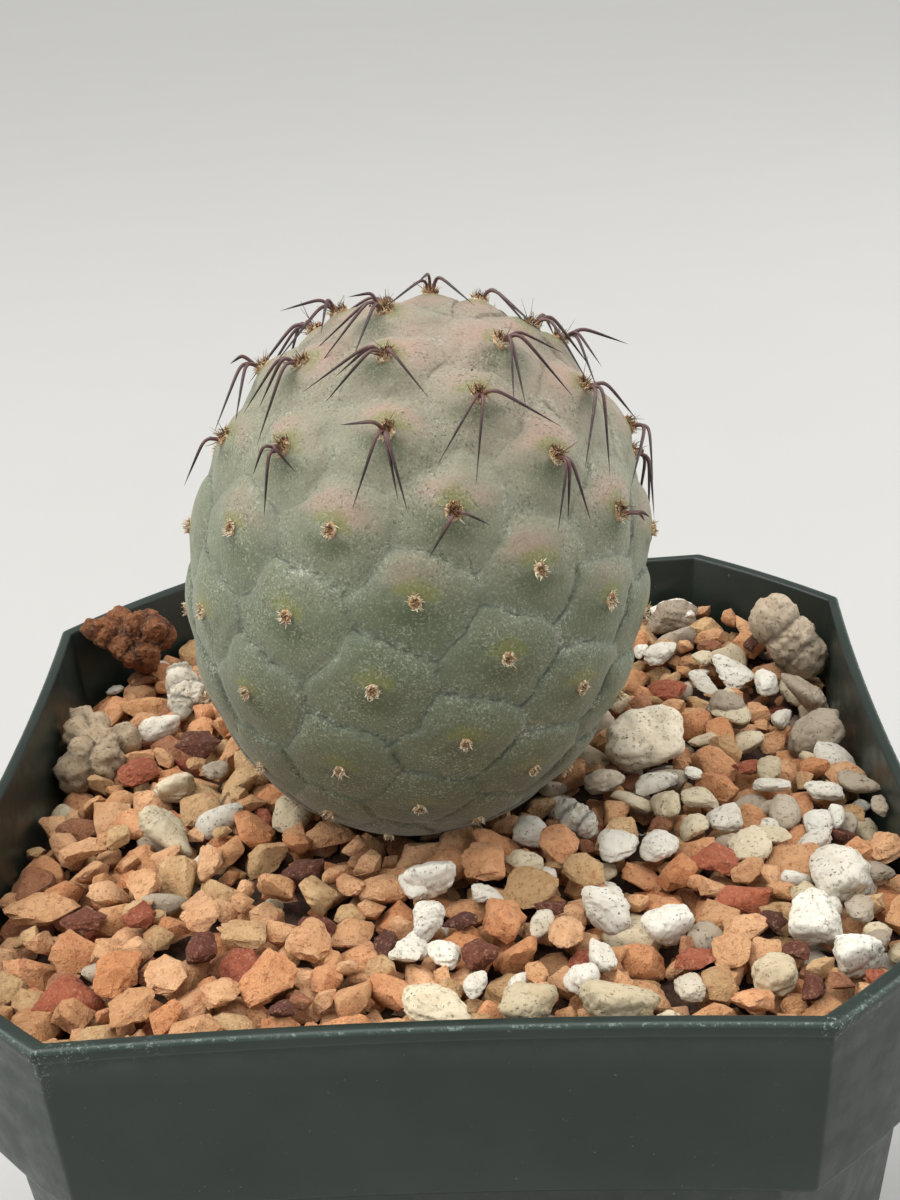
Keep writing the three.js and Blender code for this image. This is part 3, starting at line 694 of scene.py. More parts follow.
def stem_grid():
    """The smooth stem's apex and the rings under it, and how many. Points near a crease lie on it."""
    foot = np.linspace(FOOT_POLAR, 180, FOOT_ROWS)[1:]
    foot = foot[STEM_RADIUS * np.sin(np.radians(foot)) > ROOT_RADIUS]
    polar = np.concatenate([np.linspace(0, FOOT_POLAR, STEM_ROWS)[1:], foot])
    azimuth = np.linspace(0, 360, STEM_COLUMNS, endpoint=False)
    grid = on_stem(np.tile(azimuth, len(polar)), np.repeat(polar, STEM_COLUMNS))
    exposed = np.repeat(polar < FOOT_POLAR, STEM_COLUMNS)
    spread = 360 / STEM_COLUMNS * math.pi / 180 * STEM_RADIUS
    grid[exposed] = snapped(grid[exposed], SNAP_SHARE * spread)
    return np.concatenate([[[0, 0, STEM_HALF_HEIGHT]], grid]), len(polar)


def root_points():
    """The root's rings, which carry on from the stem's last one, and its tip."""
    turn = np.radians(np.linspace(0, 360, STEM_COLUMNS, endpoint=False))
    top = ROOT_RADIUS - STEM_HALF_HEIGHT
    rings = []
    for wide, deep in ROOT_SHAPE:
        radius, height = wide * ROOT_RADIUS, top - deep * ROOT_LENGTH
        rings.append(np.stack([radius * np.sin(turn), -radius * np.cos(turn), height + 0 * turn], 1))
    return np.concatenate([*rings, [[0, 0, top - ROOT_LENGTH]]])


def make_stem(paint):
    flat, rows = stem_grid()
    found = survey(flat)
    edge, _, away, below, level, own, _ = found
    root = root_points()
    points = np.concatenate([flat + out_of_stem(flat) * relief(flat, found)[:, None], root])
    faces = [face[::-1] for face in ring_faces(rows + len(ROOT_SHAPE), STEM_COLUMNS) + 1]
    last = len(points) - 1
    for column in range(STEM_COLUMNS):
        beside = (column + 1) % STEM_COLUMNS
        faces.append((0, 1 + column, 1 + beside))
        faces.append((last, last - STEM_COLUMNS + beside, last - STEM_COLUMNS + column))
    tints = np.random.default_rng(7).random(len(AREOLES))
    fields = {"edge": edge, "away": away, "below": below, "level": level, "tint": tints[own]}
    fields = {key: np.concatenate([values, np.full(len(root), 3.0)]) for key, values in fields.items()}
    fields["height"] = points[:, 2] / STEM_HALF_HEIGHT
    add_object("stem", to_pot(points), faces, [paint], "stem_skin", ["cactus_stem"], **fields)


def stem_paint():
    paint = Paint("stem_skin", 0.6, SKIN["deep green"])
    edge, away, below, level, height, tint = (
        paint.attribute(name) for name in ("edge", "away", "below", "level", "height", "tint")
    )
    above = paint.times(below, -1.0)
    # Green, with slow changes of tone
    paint.over(SKIN["green"], paint.patches((9, 3), (0.35, 0.65)))
    paint.over(SKIN["olive"], tint, 0.15)
    # Bluish bloom towards the creases
    paint.over(SKIN["bloom"], paint.ramp(edge, 3.0, 0.5), 0.4)
    # Beige over the crown, and pink above the upper areoles
    paint.over(SKIN["beige"], paint.ramp(height, 0.12, 0.75), 0.75)
    crest = paint.times(paint.ramp(above, 0.0, 1.8), paint.ramp(away, 5.0, 2.2), paint.ramp(edge, 0.0, 1.6))
    patchy = paint.patches((8, 2), (0.35, 0.6, 0.3, 1.0))
    paint.over(SKIN["crest pink"], crest, paint.ramp(height, 0.1, 0.7), patchy, 0.75)
    paint.over(SKIN["crown pink"], paint.ramp(height, 0.66, 0.95), patchy, 0.5)
    # Darker green under the areole, partly its own green and partly painted shade under the areole's bump,
    # and yellow green just above it
    paint.over(SKIN["green and painted shade"], paint.ramp(away, 4.2, 1.0), paint.ramp(below, 0.0, 1.3), 0.72)
    paint.over(SKIN["yellow green"], paint.ramp(away, 2.5, 1.2), paint.ramp(above, -0.2, 0.7), 0.7)
    # Earthy tinge near the grit, and painted shade that darkens the stem towards its foot
    paint.over(SKIN["earth"], paint.ramp(height, -0.5, -0.85), paint.patches((3, 4), (0.3, 0.7)), 0.5)
    paint.stain(SKIN["foot"], paint.ramp(height, 0.0, -0.8, 0, 0.8))
    # Mealy wax: fine light and dark grains, thicker in places
    thick = paint.patches((4.5, 3), (0.38, 0.66, 0.4, 1.0))
    paint.over(SKIN["light grain"], paint.patches((0.26, 2, 0.7), (0.52, 0.64)), thick, 0.7)
    paint.over(SKIN["dark grain"], paint.patches((0.3, 2, 0.7), (0.46, 0.34)), thick, 0.75)
    powder = paint.times(paint.patches((6, 2), (0.54, 0.68)), paint.ramp(edge, 2.4, 0.2))
    paint.over(SKIN["powder"], powder, paint.patches((0.4, 3, 0.8), (0.52, 0.6)), 0.7)
    # Painted shade: thin dark lines in the creases that run level, faint towards the crown
    faint = paint.times(paint.patches((3.4, 3), (0.36, 0.56, 0.35, 1.0)), paint.ramp(level, 0.1, 0.9))
    shown = paint.times(paint.ramp(height, 0.7, 0.2, 0.2, 0.8), paint.ramp(height, -0.85, -0.35, 0.35, 1.0))
    paint.over(SKIN["crease"], paint.ramp(edge, 0.28, 0.05), faint, shown)
    paint.bump(paint.noise(0.25, 3, 0.7), 0.06)
    paint.bump(paint.noise(2.2, 3, 0.6), 0.18)
    for name, value in STEM_SHEEN.items():
        paint.shader.inputs[name].default_value = value
    return paint.material


# Areoles


def tubes(lines, radii, sideways, sides):
    """Closed tubes along lines of points, with a radius at each point."""
    count, steps, _ = lines.shape
    ahead = unit(np.gradient(lines, axis=1))
    side = unit(sideways[:, None] - ahead * dot(sideways[:, None], ahead)[..., None])
    top = np.cross(side, ahead)
    turn = 2 * np.pi * np.arange(sides) / sides
    around = side[:, :, None] * np.cos(turn)[:, None] + top[:, :, None] * np.sin(turn)[:, None]
    points = lines[:, :, None] + around * radii[:, :, None, None]
    faces = [face + k * steps * sides for k in range(count) for face in closed_faces(steps, sides)]
    share = np.tile(np.repeat(np.linspace(0, 1, steps), sides), count)
    return points.reshape(-1, 3), faces, share


def round_areole(index, turn):
    """Directions all round an areole, longer up and down."""
    down = np.sin(turn)[:, None] * AREOLE_DOWN[index] * PAD_OVAL
    return np.cos(turn)[:, None] * AREOLE_RIGHT[index] + down


def strands(rng, index, ring, count, length, thickness, spread, tone, dusk=0.0):
    """Short curved hairs on an areole, between two distances from its middle, the upper ones darker."""
    out = AREOLE_OUT[index]
    turn = rng.uniform(0, 2 * math.pi, count)
    place = np.sqrt(rng.uniform(ring[0] ** 2, ring[1] ** 2, count))
    radial = round_areole(index, turn)
    start = AREOLE_SEATS[index] + radial * place[:, None] + out * 0.1
    heading = unit(out + radial * (spread * place / ring[1])[:, None] + rng.normal(0, 0.3, (count, 3)))
    curl = rng.normal(0, 0.4, (count, 3))
    size = rng.uniform(*length, count)[:, None, None]
    share = np.linspace(0, 1, HAIR_STEPS)[None, :, None]
    lines = start[:, None] + size * (share * heading[:, None] + share**2 * curl[:, None])
    radii = thickness * (1 - 0.75 * share[..., 0]) * rng.uniform(0.7, 1.2, (count, 1))
    sideways = unit(np.cross(heading, rng.normal(size=(count, 3))))
    points, faces, along = tubes(lines, radii, sideways, HAIR_SIDES)
    shades = rng.uniform(*tone, count) - dusk * (0.5 - 0.5 * np.sin(turn))
    shades = np.repeat(shades, HAIR_STEPS * HAIR_SIDES)
    return points, faces, {"shade": shades, "along": along}


def wool_dome(rng, index, radius):
    """The felt under an areole's hairs: a low ring round a hollow."""
    sides, count = DOME_SIDES, DOME_SIDES * len(DOME_RINGS)
    circle = round_areole(index, 2 * np.pi * np.arange(sides) / sides)
    rings = []
    for share, lift, _ in DOME_RINGS:
        flat = circle * (radius * share * rng.uniform(0.8, 1.12, (sides, 1)))
        rise = AREOLE_OUT[index] * lift * rng.uniform(0.8, 1.2, (sides, 1))
        rings.append(AREOLE_SEATS[index] + flat + rise)
    faces = [face[::-1] for face in closed_faces(len(DOME_RINGS), sides)]
    shades = np.repeat([shade for _, _, shade in DOME_RINGS], sides) + rng.uniform(0, 0.3, count)
    return np.concatenate(rings), faces, {"shade": shades, "along": np.full(count, 0.3)}


AREOLE_SEATS = on_tubercles(AREOLE_POINTS)


def woolly_pad(index, radius, wool, bristles, tallest, dusk):
    """A ring of pale wool round a tuft of brown bristles."""
    rng = np.random.default_rng(1000 + index)
    parts = [wool_dome(rng, index, radius)]
    ring = (0.6 * radius, radius)
    parts.append(strands(rng, index, ring, wool, (0.18, 0.5), 0.1, 0.3, (0.5, 1.0), dusk))
    middle = (0, 0.62 * radius)
    parts.append(strands(rng, index, middle, bristles, (0.25, tallest), 0.08, 0.25, (0.0, 0.65), 0.6 * dusk))
    return parts


def tip_by_pixel(index, x, y, height=SPINE_TIP):
    """The point on a pixel's ray that stands so high over the stem, or else passes nearest the areole."""
    ray = unit(pixel_ray(x, y))
    seat = to_pot(AREOLE_SEATS[index])
    nearest = dot(seat - CAMERA_PLACE, ray)
    points = CAMERA_PLACE + ray * (nearest + TIP_SEARCH)[:, None]
    above, _ = stem_gap(points)
    low = np.flatnonzero(above < height)
    if len(low):
        return from_pot(points[low[0]])
    return from_pot(CAMERA_PLACE + ray * nearest)


def tips_of(index):
    """The tips of an areole's spines, in the stem's own frame."""
    whorl, k, _, _ = AREOLES[index]
    if (whorl, k) in PHOTO_TIPS:
        return [tip_by_pixel(index, *tip) for tip in PHOTO_TIPS[whorl, k]]
    if whorl < SPINY_FROM:
        return []
    rng = np.random.default_rng(100 * whorl + k)
    count = 3 if rng.random() < 0.5 else 4
    turns = np.radians(SPINE_FAN * np.linspace(-1, 1, count) + rng.uniform(-7, 7, count))
    heading = np.cos(turns)[:, None] * AREOLE_DOWN[index] + np.sin(turns)[:, None] * AREOLE_RIGHT[index]
    foot = back_on_stem(AREOLE_POINTS[index] + heading * rng.uniform(*SPINE_LENGTH, (count, 1)))
    return list(foot + out_of_stem(foot) * (mound_height(foot) + SPINE_TIP)[:, None])


def spine_tubes(index):
    """Spines that leave the areole outwards, bend, and run straight on to their tips."""
    rng = np.random.default_rng(5000 + index)
    out = AREOLE_OUT[index]
    share = np.linspace(0, 1, SPINE_STEPS) ** 1.7
    lines, sideways, radii = [], [], []
    for tip in tips_of(index):
        ahead = tip - AREOLE_SEATS[index]
        start = AREOLE_SEATS[index] + unit(ahead - out * dot(ahead, out)) * 0.4 + out * 0.2
        arch = (1 - np.exp(-share / SPINE_ELBOW)) * (1 - share)
        rise = SPINE_RISE * rng.uniform(0.85, 1.15)
        lines.append(mixed(start, tip, share[:, None]) + out * (rise * arch)[:, None])
        sideways.append(unit(np.cross(out, ahead)))
        radii.append(SPINE_RADIUS * rng.uniform(0.85, 1.1) * (0.96 * (1 - share**1.8) + 0.04))
    return tubes(np.array(lines), np.array(radii), np.array(sideways), SPINE_SIDES)


def make_areoles(wool, spine):
    number = 0
    bare = []
    for index, (whorl, *_) in enumerate(AREOLES):
        if not tips_of(index):
            seat = to_pot(AREOLE_SEATS[index])
            radius = BARE_PAD_RADIUS * (1 if whorl > LOW_WHORLS else LOW_PAD_SHARE)
            if seat[2] > grit_level(seat[0], seat[1]) + 1:
                bare += woolly_pad(index, radius, **BARE_PAD)
            continue
        number += 1
        parts = woolly_pad(index, PAD_RADIUS, **SPINY_PAD)
        parts.append(strands(np.random.default_rng(3000 + index), index, *LONG_BRISTLES))
        wool_faces = sum(len(faces) for _, faces, _ in parts)
        points, faces, share = spine_tubes(index)
        parts.append((points, faces, {"shade": np.full(len(points), 0.5), "along": share}))
        points, faces, fields = join_parts(parts)
        name = f"spiny_areole_{number:02d}"
        piece = add_object(
            name + "_spines", to_pot(points), faces, [wool, spine], "spines_and_wool", [name], **fields
        )
        for face in piece.data.polygons[wool_faces:]:
            face.material_index = 1
    points, faces, fields = join_parts(bare)
    add_object("bare_areoles", to_pot(points), faces, [wool], "spines_and_wool", **fields)


def wool_paint():
    paint = Paint("areole_wool", 0.9, HORN["wool foot"])
    shade = paint.attribute("shade")
    paint.over(HORN["wool"], paint.ramp(shade, 0.0, 0.45))
    paint.over(HORN["wool tip"], paint.ramp(shade, 0.45, 0.75))
    paint.over(HORN["wool stain"], paint.patches((0.3, 2), (0.5, 0.35, 0, 0.35)))
    return paint.material


def spine_paint():
    paint = Paint("spine_horn", 0.4, HORN["spine foot"])
    along = paint.attribute("along")
    paint.over(HORN["spine"], paint.ramp(along, 0.02, 0.16))
    paint.over(HORN["spine tip"], paint.ramp(along, 0.3, 0.75))
    # Painted sheen: lighter mauve-grey streaks along the spines
    paint.over(HORN["spine sheen"], paint.patches((0.6, 3), (0.48, 0.72, 0, 0.35)))
    paint.bump(paint.noise(0.2, 2), 0.02)
    return paint.material


# Stones


def ico_form(level):
    """Points and faces of an icosphere of radius 1."""
    bm = bmesh.new()
    bmesh.ops.create_icosphere(bm, subdivisions=level, radius=1)
    points = np.array([vertex.co for vertex in bm.verts])
    faces = np.array([[vertex.index for vertex in face.verts] for face in bm.faces])
    bm.free()
    return unit(points), faces


ICO_FORMS = {level: ico_form(level) for level in (3, 4, 5, 6)}


def broken_form(rng, rounds):
    """A stone broken along flat faces, about 1 in radius, and its faces."""
    bm = bmesh.new()
    count = rng.integers(*HULL_CORNERS)
    for corner in unit(rng.normal(size=(count, 3))) * rng.uniform(0.85, 1.05, (count, 1)):
        bm.verts.new(corner)
    hull = bmesh.ops.convex_hull(bm, input=bm.verts[:])
    spare = [item for item in hull["geom_interior"] if isinstance(item, bmesh.types.BMVert)]
    bmesh.ops.delete(bm, geom=spare, context="VERTS")
    flat = math.radians(FLAT_ANGLE)
    bmesh.ops.dissolve_limit(bm, angle_limit=flat, verts=bm.verts[:], edges=bm.edges[:])
    bmesh.ops.bevel(bm, geom=bm.edges[:], offset=BEVEL, segments=1, affect="EDGES", clamp_overlap=True)
    bmesh.ops.triangulate(bm, faces=bm.faces[:])
    for _ in range(rounds):
        long = [edge for edge in bm.edges if edge.calc_length() > LONG_EDGE]
        bmesh.ops.subdivide_edges(bm, edges=long, cuts=1)
        bmesh.ops.triangulate(bm, faces=bm.faces[:])
    points = np.array([vertex.co for vertex in bm.verts])
    faces = np.array([[vertex.index for vertex in face.verts] for face in bm.faces])
    bm.free()
    rough = 0.06 * ripples(rng, points, 0.9) + 0.025 * ripples(rng, points, 0.3)
    return points * (1 + rough[:, None]), faces


def flat_sides(rng, around, extra, rounding):
    """Distances from the middle to the sides of a rounded block, in directions all around."""
    sides = np.concatenate([np.eye(3), -np.eye(3)]) + rng.normal(0, 0.3, (6, 3))
    planes = unit(np.concatenate([sides, rng.normal(size=(extra, 3))]))
    reach = rng.uniform(0.78, 1.0, len(planes))
    press = np.maximum(around @ planes.T / reach, 0) ** rounding
    return press.sum(1) ** (-1 / rounding)


def pitted(rng, around, radius, count, lumps):
    """Radii of a lumpy stone, with small pits in it."""
    bumps = lumps * ripples(rng, around, 1.3, 2) + 0.25 * lumps * ripples(rng, around, 0.35, 2)
    radius = radius * (1 + bumps)
    pits = unit(rng.normal(size=(count, 3)))
    width = rng.uniform(*PIT_WIDTH, count)
    depth = rng.uniform(*PIT_DEPTH, count)
    bend = np.arccos(np.clip(around @ pits.T, -1, 1)) / width
    return radius * (1 - (depth * np.exp(-(bend**2))).sum(1))


def pumice_form(rng, level):
    """A rounded, pitted stone, about 1 in radius."""
    around, _ = ICO_FORMS[level]
    radius = flat_sides(rng, around, rng.integers(3, 8), 3.6)
    pits = ROUND_PITS if level > 3 else SMALL_PITS
    return around * pitted(rng, around, radius, pits, PUMICE_LUMPS)[:, None]


def lobed_form(rng, level, lobes):
    """A stone made of lobes, round the middle of the first, and how deep each point is in a crevice."""
    around, _ = ICO_FORMS[level]
    total, longest = np.zeros(len(around)), np.zeros(len(around))
    core = np.array(lobes[0][:3])
    for x, y, z, size in lobes:
        middle = np.array([x, y, z]) - core
        along = around @ middle
        inside = along**2 - middle @ middle + size**2
        reach = np.where(inside > 0, along + np.sqrt(np.maximum(inside, 0)), 0)
        total += np.maximum(reach, 0) ** LOBE_BLEND
        longest = np.maximum(longest, reach)
    radius = total ** (1 / LOBE_BLEND)
    crevice = np.clip((radius / longest - 1) / CREVICE_DEPTH, 0, 1)
    lumps = LOBED_LUMPS if len(lobes) > 5 else 0.4 * LOBED_LUMPS
    return core + around * pitted(rng, around, radius, LOBED_PITS, lumps)[:, None], crevice


def knobbly(rng, form):
    """A stone's points, a little uneven."""
    shift = [0.16 * ripples(rng, form, 3.0, 3) + 0.028 * ripples(rng, form, 0.9, 2) for _ in range(3)]
    return form + np.stack(shift, 1)


def shaded(rng, kind):
    light, dark = (linear(shade) for shade in STONE_SHADES[kind])
    return mixed(light, dark, rng.random()) * rng.uniform(0.92, 1.06)


def placed_stone(rng, kind, form, middle, size, yaw, tilt):
    """A stone's points and colours, where it lies. Its size is along its own axes."""
    extent = (form.max(0) - form.min(0)) / 2
    middle_of_form = (form.max(0) + form.min(0)) / 2
    points = (form - middle_of_form) / extent * (np.asarray(size) / 2)
    points = turned(points, rng.normal(0, tilt), "X")
    points = turned(points, rng.normal(0, tilt), "Y")
    points = turned(points, yaw, "Z") + middle
    return points, np.tile(shaded(rng, kind), (len(points), 1))


def grit_level(x, y):
    depth = mixed(DEPTH_FRONT, DEPTH_BACK, (y + RIM_HALF) / (2 * RIM_HALF))
    left = LEFT_DIP * smooth(LEFT_DIP_START, RIM_HALF, -x)
    away = np.hypot(x - RIGHT_DIP_PLACE[0], y - RIGHT_DIP_PLACE[1]) / RIGHT_DIP_RADIUS
    return POT_HEIGHT - depth - left - RIGHT_DIP * np.exp(-(away**2))


def photo_stones():
    """The stones that the photograph shows: kind, middle and size in millimetres."""
    stones = []
    _, _, forward = camera_axes()
    for kind, x, y, wide, high in PHOTO_STONES:
        ray = pixel_ray(x, y)
        distance = (POT_HEIGHT - 4 - CAMERA_PLACE[2]) / ray[2]
        for _ in range(8):
            middle = CAMERA_PLACE + ray * distance
            distance += (grit_level(middle[0], middle[1]) + 0.2 - middle[2]) / ray[2]
        scale = distance * dot(ray, forward) / FOCAL_PIXELS
        width, height = wide * scale, high * scale
        thick = THICKNESS * min(width, height)
        sine = -unit(ray)[2]
        rest = height**2 - (thick**2) * (1 - sine**2)
        depth = math.sqrt(max(rest, (0.7 * width * sine) ** 2)) / sine
        stones.append((kind, middle, (width, min(depth, 1.6 * width), thick)))
    return stones


def stem_gap(points):
    """How far points of the pot lie from the stem's tubercles, and which way is out."""
    own = from_pot(points)
    size = np.array([STEM_RADIUS, STEM_RADIUS, STEM_HALF_HEIGHT]) + MOUND
    length = np.linalg.norm(own / size, axis=1)
    out = unit(own / size**2)
    gap = (length - 1) * length / np.linalg.norm(own / size**2, axis=1)
    return gap, turned(out, STEM_LEAN, "Y")


def settle(middles, radii, free):
    """Moves free balls until they lie beside each other, under the grit's level and inside the pot."""
    inside = RIM_HALF - RIM_WIDTH - WALL_GAP
    corner = inside * (1 + STRAIGHT_HALF / RIM_HALF)
    reach = radii[:, None] + radii
    share = np.where(free[:, None] & free, 0.5, np.where(free[:, None], 1.0, 0.0))
    for _ in range(SETTLE_ROUNDS):
        apart = middles[:, None] - middles
        distance = np.sqrt((apart**2).sum(-1)) + np.eye(len(radii)) * 1e6
        overlap = np.maximum(reach - distance, 0) / distance * share
        move = (apart * overlap[..., None]).sum(1)
        length = np.linalg.norm(move, axis=1, keepdims=True)
        middles = middles + move * np.minimum(1, SETTLE_REACH / np.maximum(length, 1e-9)) * SETTLE_SHARE
        gap, out = stem_gap(middles)
        push = np.where(free, np.maximum(radii * 0.9 - gap, 0), 0)
        middles = middles + out * push[:, None]
        x, y, z = middles.T
        side = inside - SIDE_BOW * (1 - (np.minimum(np.abs(x), np.abs(y)) / STRAIGHT_HALF) ** 2).clip(0)
        x = np.where(free, np.clip(x, radii - side, side - radii), x)
        y = np.where(free, np.clip(y, radii - side, side - radii), y)
        over = np.maximum(np.abs(x) + np.abs(y) + radii * math.sqrt(2) - corner, 0) / 2
        x = np.where(free, x - np.sign(x) * over, x)
        y = np.where(free, y - np.sign(y) * over, y)
        top = grit_level(x, y)
        z = np.where(free, np.clip(z, top - HEAP_DEPTH, top - 0.45 * radii), z)
        middles = np.stack([x, y, z], 1)
    return middles


def pale_share(x, y):
    """How many of the small stones are pumice at a place: more towards the right and the back."""
    right = smooth(5, 30, x) * smooth(-36, -10, y)
    return 0.03 + 0.14 * right + 0.06 * smooth(-8, 8, x)


def small_kind(rng, x, y):
    kinds = PUMICE_KINDS if rng.random() < pale_share(x, y) else CLAY_KINDS
    return rng.choice(list(kinds), p=list(kinds.values()))


def loose_balls(nodes):
    """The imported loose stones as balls, for other stones to lie against."""
    middles, radii = [], []
    for name in nodes:
        low, high = (np.array(corner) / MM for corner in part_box(name))
        size = high - low
        middles.append(np.array(LOBES[name][0][:3]) if name in LOBES else (low + high) / 2)
        radii.append(LOBES[name][0][3] * 1.1 if name in LOBES else (size[0] + size[1]) / 4 * BALL_SHARE)
    return middles, radii


def kept_inside(points):
    """A stone's points, with the stone moved off the pot's walls where it runs into them."""
    for x_way, y_way in ((1, 0), (-1, 0), (0, 1), (0, -1), (1, 1), (1, -1), (-1, 1), (-1, -1)):
        x, y, z = points.T
        half = RIM_HALF - RIM_WIDTH - COLLAR_TAPER * (POT_HEIGHT - z) / COLLAR_HEIGHT
        if x_way and y_way:
            limit = half * (1 + STRAIGHT_HALF / RIM_HALF)
        else:
            along = y if x_way else x
            limit = half - SIDE_BOW * (1 - (along / STRAIGHT_HALF) ** 2).clip(0)
        over = max((x_way * x + y_way * y - limit).max(), 0) / (abs(x_way) + abs(y_way))
        points = points - np.array([x_way * over, y_way * over, 0])
    return points


def filling(rng, fixed_radii):
    """Middles and radii of small balls, as many as fill the heap's room beside the fixed ones."""
    stem_area = math.pi * STEM_HOLE**2
    area = (2 * RIM_HALF - 6) ** 2 * OUTLINE_SHARE - stem_area
    room = area * HEAP_DEPTH * FILL_SHARE - sum(4 / 3 * math.pi * r**3 * 0.8 for r in fixed_radii)
    middles, radii = [], []
    while room > 0:
        radius = mixed(*FILL_RADIUS, rng.random() ** 1.6)
        x, y = rng.uniform(-RIM_HALF + 4, RIM_HALF - 4, 2)
        radii.append(radius)
        middles.append((x, y, grit_level(x, y) - rng.uniform(0.5, HEAP_DEPTH)))
        room -= 4 / 3 * math.pi * radius**3
    return middles, radii


def heap_stones(nodes):
    """Each stone of the heap: whether it is pumice, and its points, faces and colours."""
    rng = np.random.default_rng(11)
    shown = photo_stones()
    fixed, fixed_radii = loose_balls(nodes)
    fixed += [middle for _, middle, _ in shown]
    fixed_radii += [(size[0] + size[1]) / 4 * BALL_SHARE for _, _, size in shown]
    middles, radii = filling(rng, fixed_radii)
    free = np.arange(len(fixed) + len(radii)) >= len(fixed)
    middles = settle(np.array(fixed + middles), np.array(fixed_radii + radii), free)[len(fixed):]
    broken = [[broken_form(rng, rounds) for _ in range(BROKEN_FORMS)] for rounds in (0, 1)]
    rounded = [(pumice_form(rng, 3), ICO_FORMS[3][1]) for _ in range(ROUNDED_FORMS)]
    for seed, (kind, middle, size) in enumerate(shown):
        own = np.random.default_rng(200 + seed)
        pale = kind in PALE_KINDS
        form, faces = (pumice_form(own, 4), ICO_FORMS[4][1]) if pale else broken_form(own, 2)
        yaw = own.uniform(-12, 12)
        yield pale, placed_stone(own, kind, form, middle, size, yaw, PHOTO_TILT), faces
    for middle, radius in zip(middles, radii):
        kind = small_kind(rng, middle[0], middle[1])
        pale = kind in PALE_KINDS
        forms = rounded if pale else broken[int(radius > FINE_RADIUS)]
        form, faces = forms[rng.integers(len(forms))]
        form = turned(turned(form, rng.uniform(0, 360), "X"), rng.uniform(0, 360), "Y")
        size = 2 * radius * rng.uniform(*SMALL_SIZE)
        yaw = rng.uniform(0, 360)
        yield pale, placed_stone(rng, kind, form, middle, size, yaw, SMALL_TILT), faces


def make_heap(nodes, clay, pumice):
    """All the stones that are not nodes of their own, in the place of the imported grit."""
    heaps = {False: [], True: []}
    for pale, (points, colours), faces in heap_stones(nodes):
        heaps[pale].append((kept_inside(points), faces, {"stone": colours}))
    third = len(heaps[False]) // 3
    lots = [
        ("clay_grit_1", heaps[False][:third], clay, "grit_clay", ["grit"]),
        ("clay_grit_2", heaps[False][third:2 * third], clay, "grit_clay", []),
        ("clay_grit_3", heaps[False][2 * third:], clay, "grit_clay", []),
        ("pumice_grit", heaps[True], pumice, "pumice_white", []),
    ]
    for name, parts, paint, slot, replaced in lots:
        points, faces, fields = join_parts(parts)
        piece = add_object(name, points, faces, [paint], slot, replaced, **fields)
        piece.data.set_sharp_from_angle(angle=math.radians(SHARP_ANGLE))


def make_loose_stones(nodes, pumice, clay):
    """Each packed loose stone as a finer one of the same size and place."""
    for seed, name in enumerate(nodes):
        rng = np.random.default_rng(700 + seed)
        kind = name.split("_")[0]
        red = kind == "clay"
        level = 6 if red else 5
        crevice = np.zeros(len(ICO_FORMS[level][0]))
        if name in LOBES:
            points, crevice = lobed_form(rng, level, LOBES[name])
            points = knobbly(rng, points)
        else:
            low, high = (np.array(corner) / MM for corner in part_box(name))
            form = pumice_form(rng, level)
            form_low, form_high = form.min(0), form.max(0)
            points = (form - form_low) / (form_high - form_low) * (high - low) + low
        colour = linear(LOOSE_TONES_AND_PAINTED_LIGHT[name]) if name in LOOSE_TONES_AND_PAINTED_LIGHT else shaded(rng, kind)
        # Painted shade in the crevices between lobes
        colours = colour * (1 - PAINTED_CREVICE_SHADE * crevice)[:, None]
        paint, slot = (clay, "clay_red") if red else (pumice, f"pumice_{kind}")
        add_object(name + "_stone", points, ICO_FORMS[level][1], [paint], slot, [name], stone=colours)


def clay_paint():
    paint = Paint("fired_clay", 0.95)
    paint.layers = paint.attribute("stone", "Color")
    paint.stain(EARTH["clay patch"], paint.patches((2.6, 4, 0.65), (0.4, 0.68)), 0.5)
    paint.over(EARTH["clay red"], paint.patches((4, 3, 0.6, 0.6), (0.64, 0.7)), 0.4)
    paint.over(EARTH["clay dust"], paint.patches((0.45, 4, 0.75), (0.52, 0.66)), 0.22)
    paint.stain(EARTH["clay grime"], paint.patches((0.6, 4, 0.8), (0.47, 0.36)), 0.6)
    paint.bump(paint.noise(1.0, 5, 0.72), 0.5)
    paint.bump(paint.noise(0.25, 3, 0.7), 0.09)
    return paint.material


def pumice_paint():
    paint = Paint("pumice", 0.95)
    paint.layers = paint.attribute("stone", "Color")
    paint.stain(EARTH["pumice patch"], paint.patches((2.2, 4, 0.65), (0.42, 0.7)), 0.4)
    crowd = paint.patches((2.0, 2), (0.35, 0.6, 0.3, 1.0))
    pores = paint.patches((0.5, 3, 0.75), (0.41, 0.33))
    # Painted shade in the pores
    paint.stain(EARTH["pumice pore shade"], pores, crowd, 0.7)
    paint.over(EARTH["pumice speck"], paint.patches((0.42, 2, 0.6), (0.36, 0.31)), crowd, 0.85)
    paint.bump(paint.noise(0.9, 4, 0.6), 0.16)
    paint.bump(pores, -0.08)
    return paint.material


# Bed of dark soil under the stones


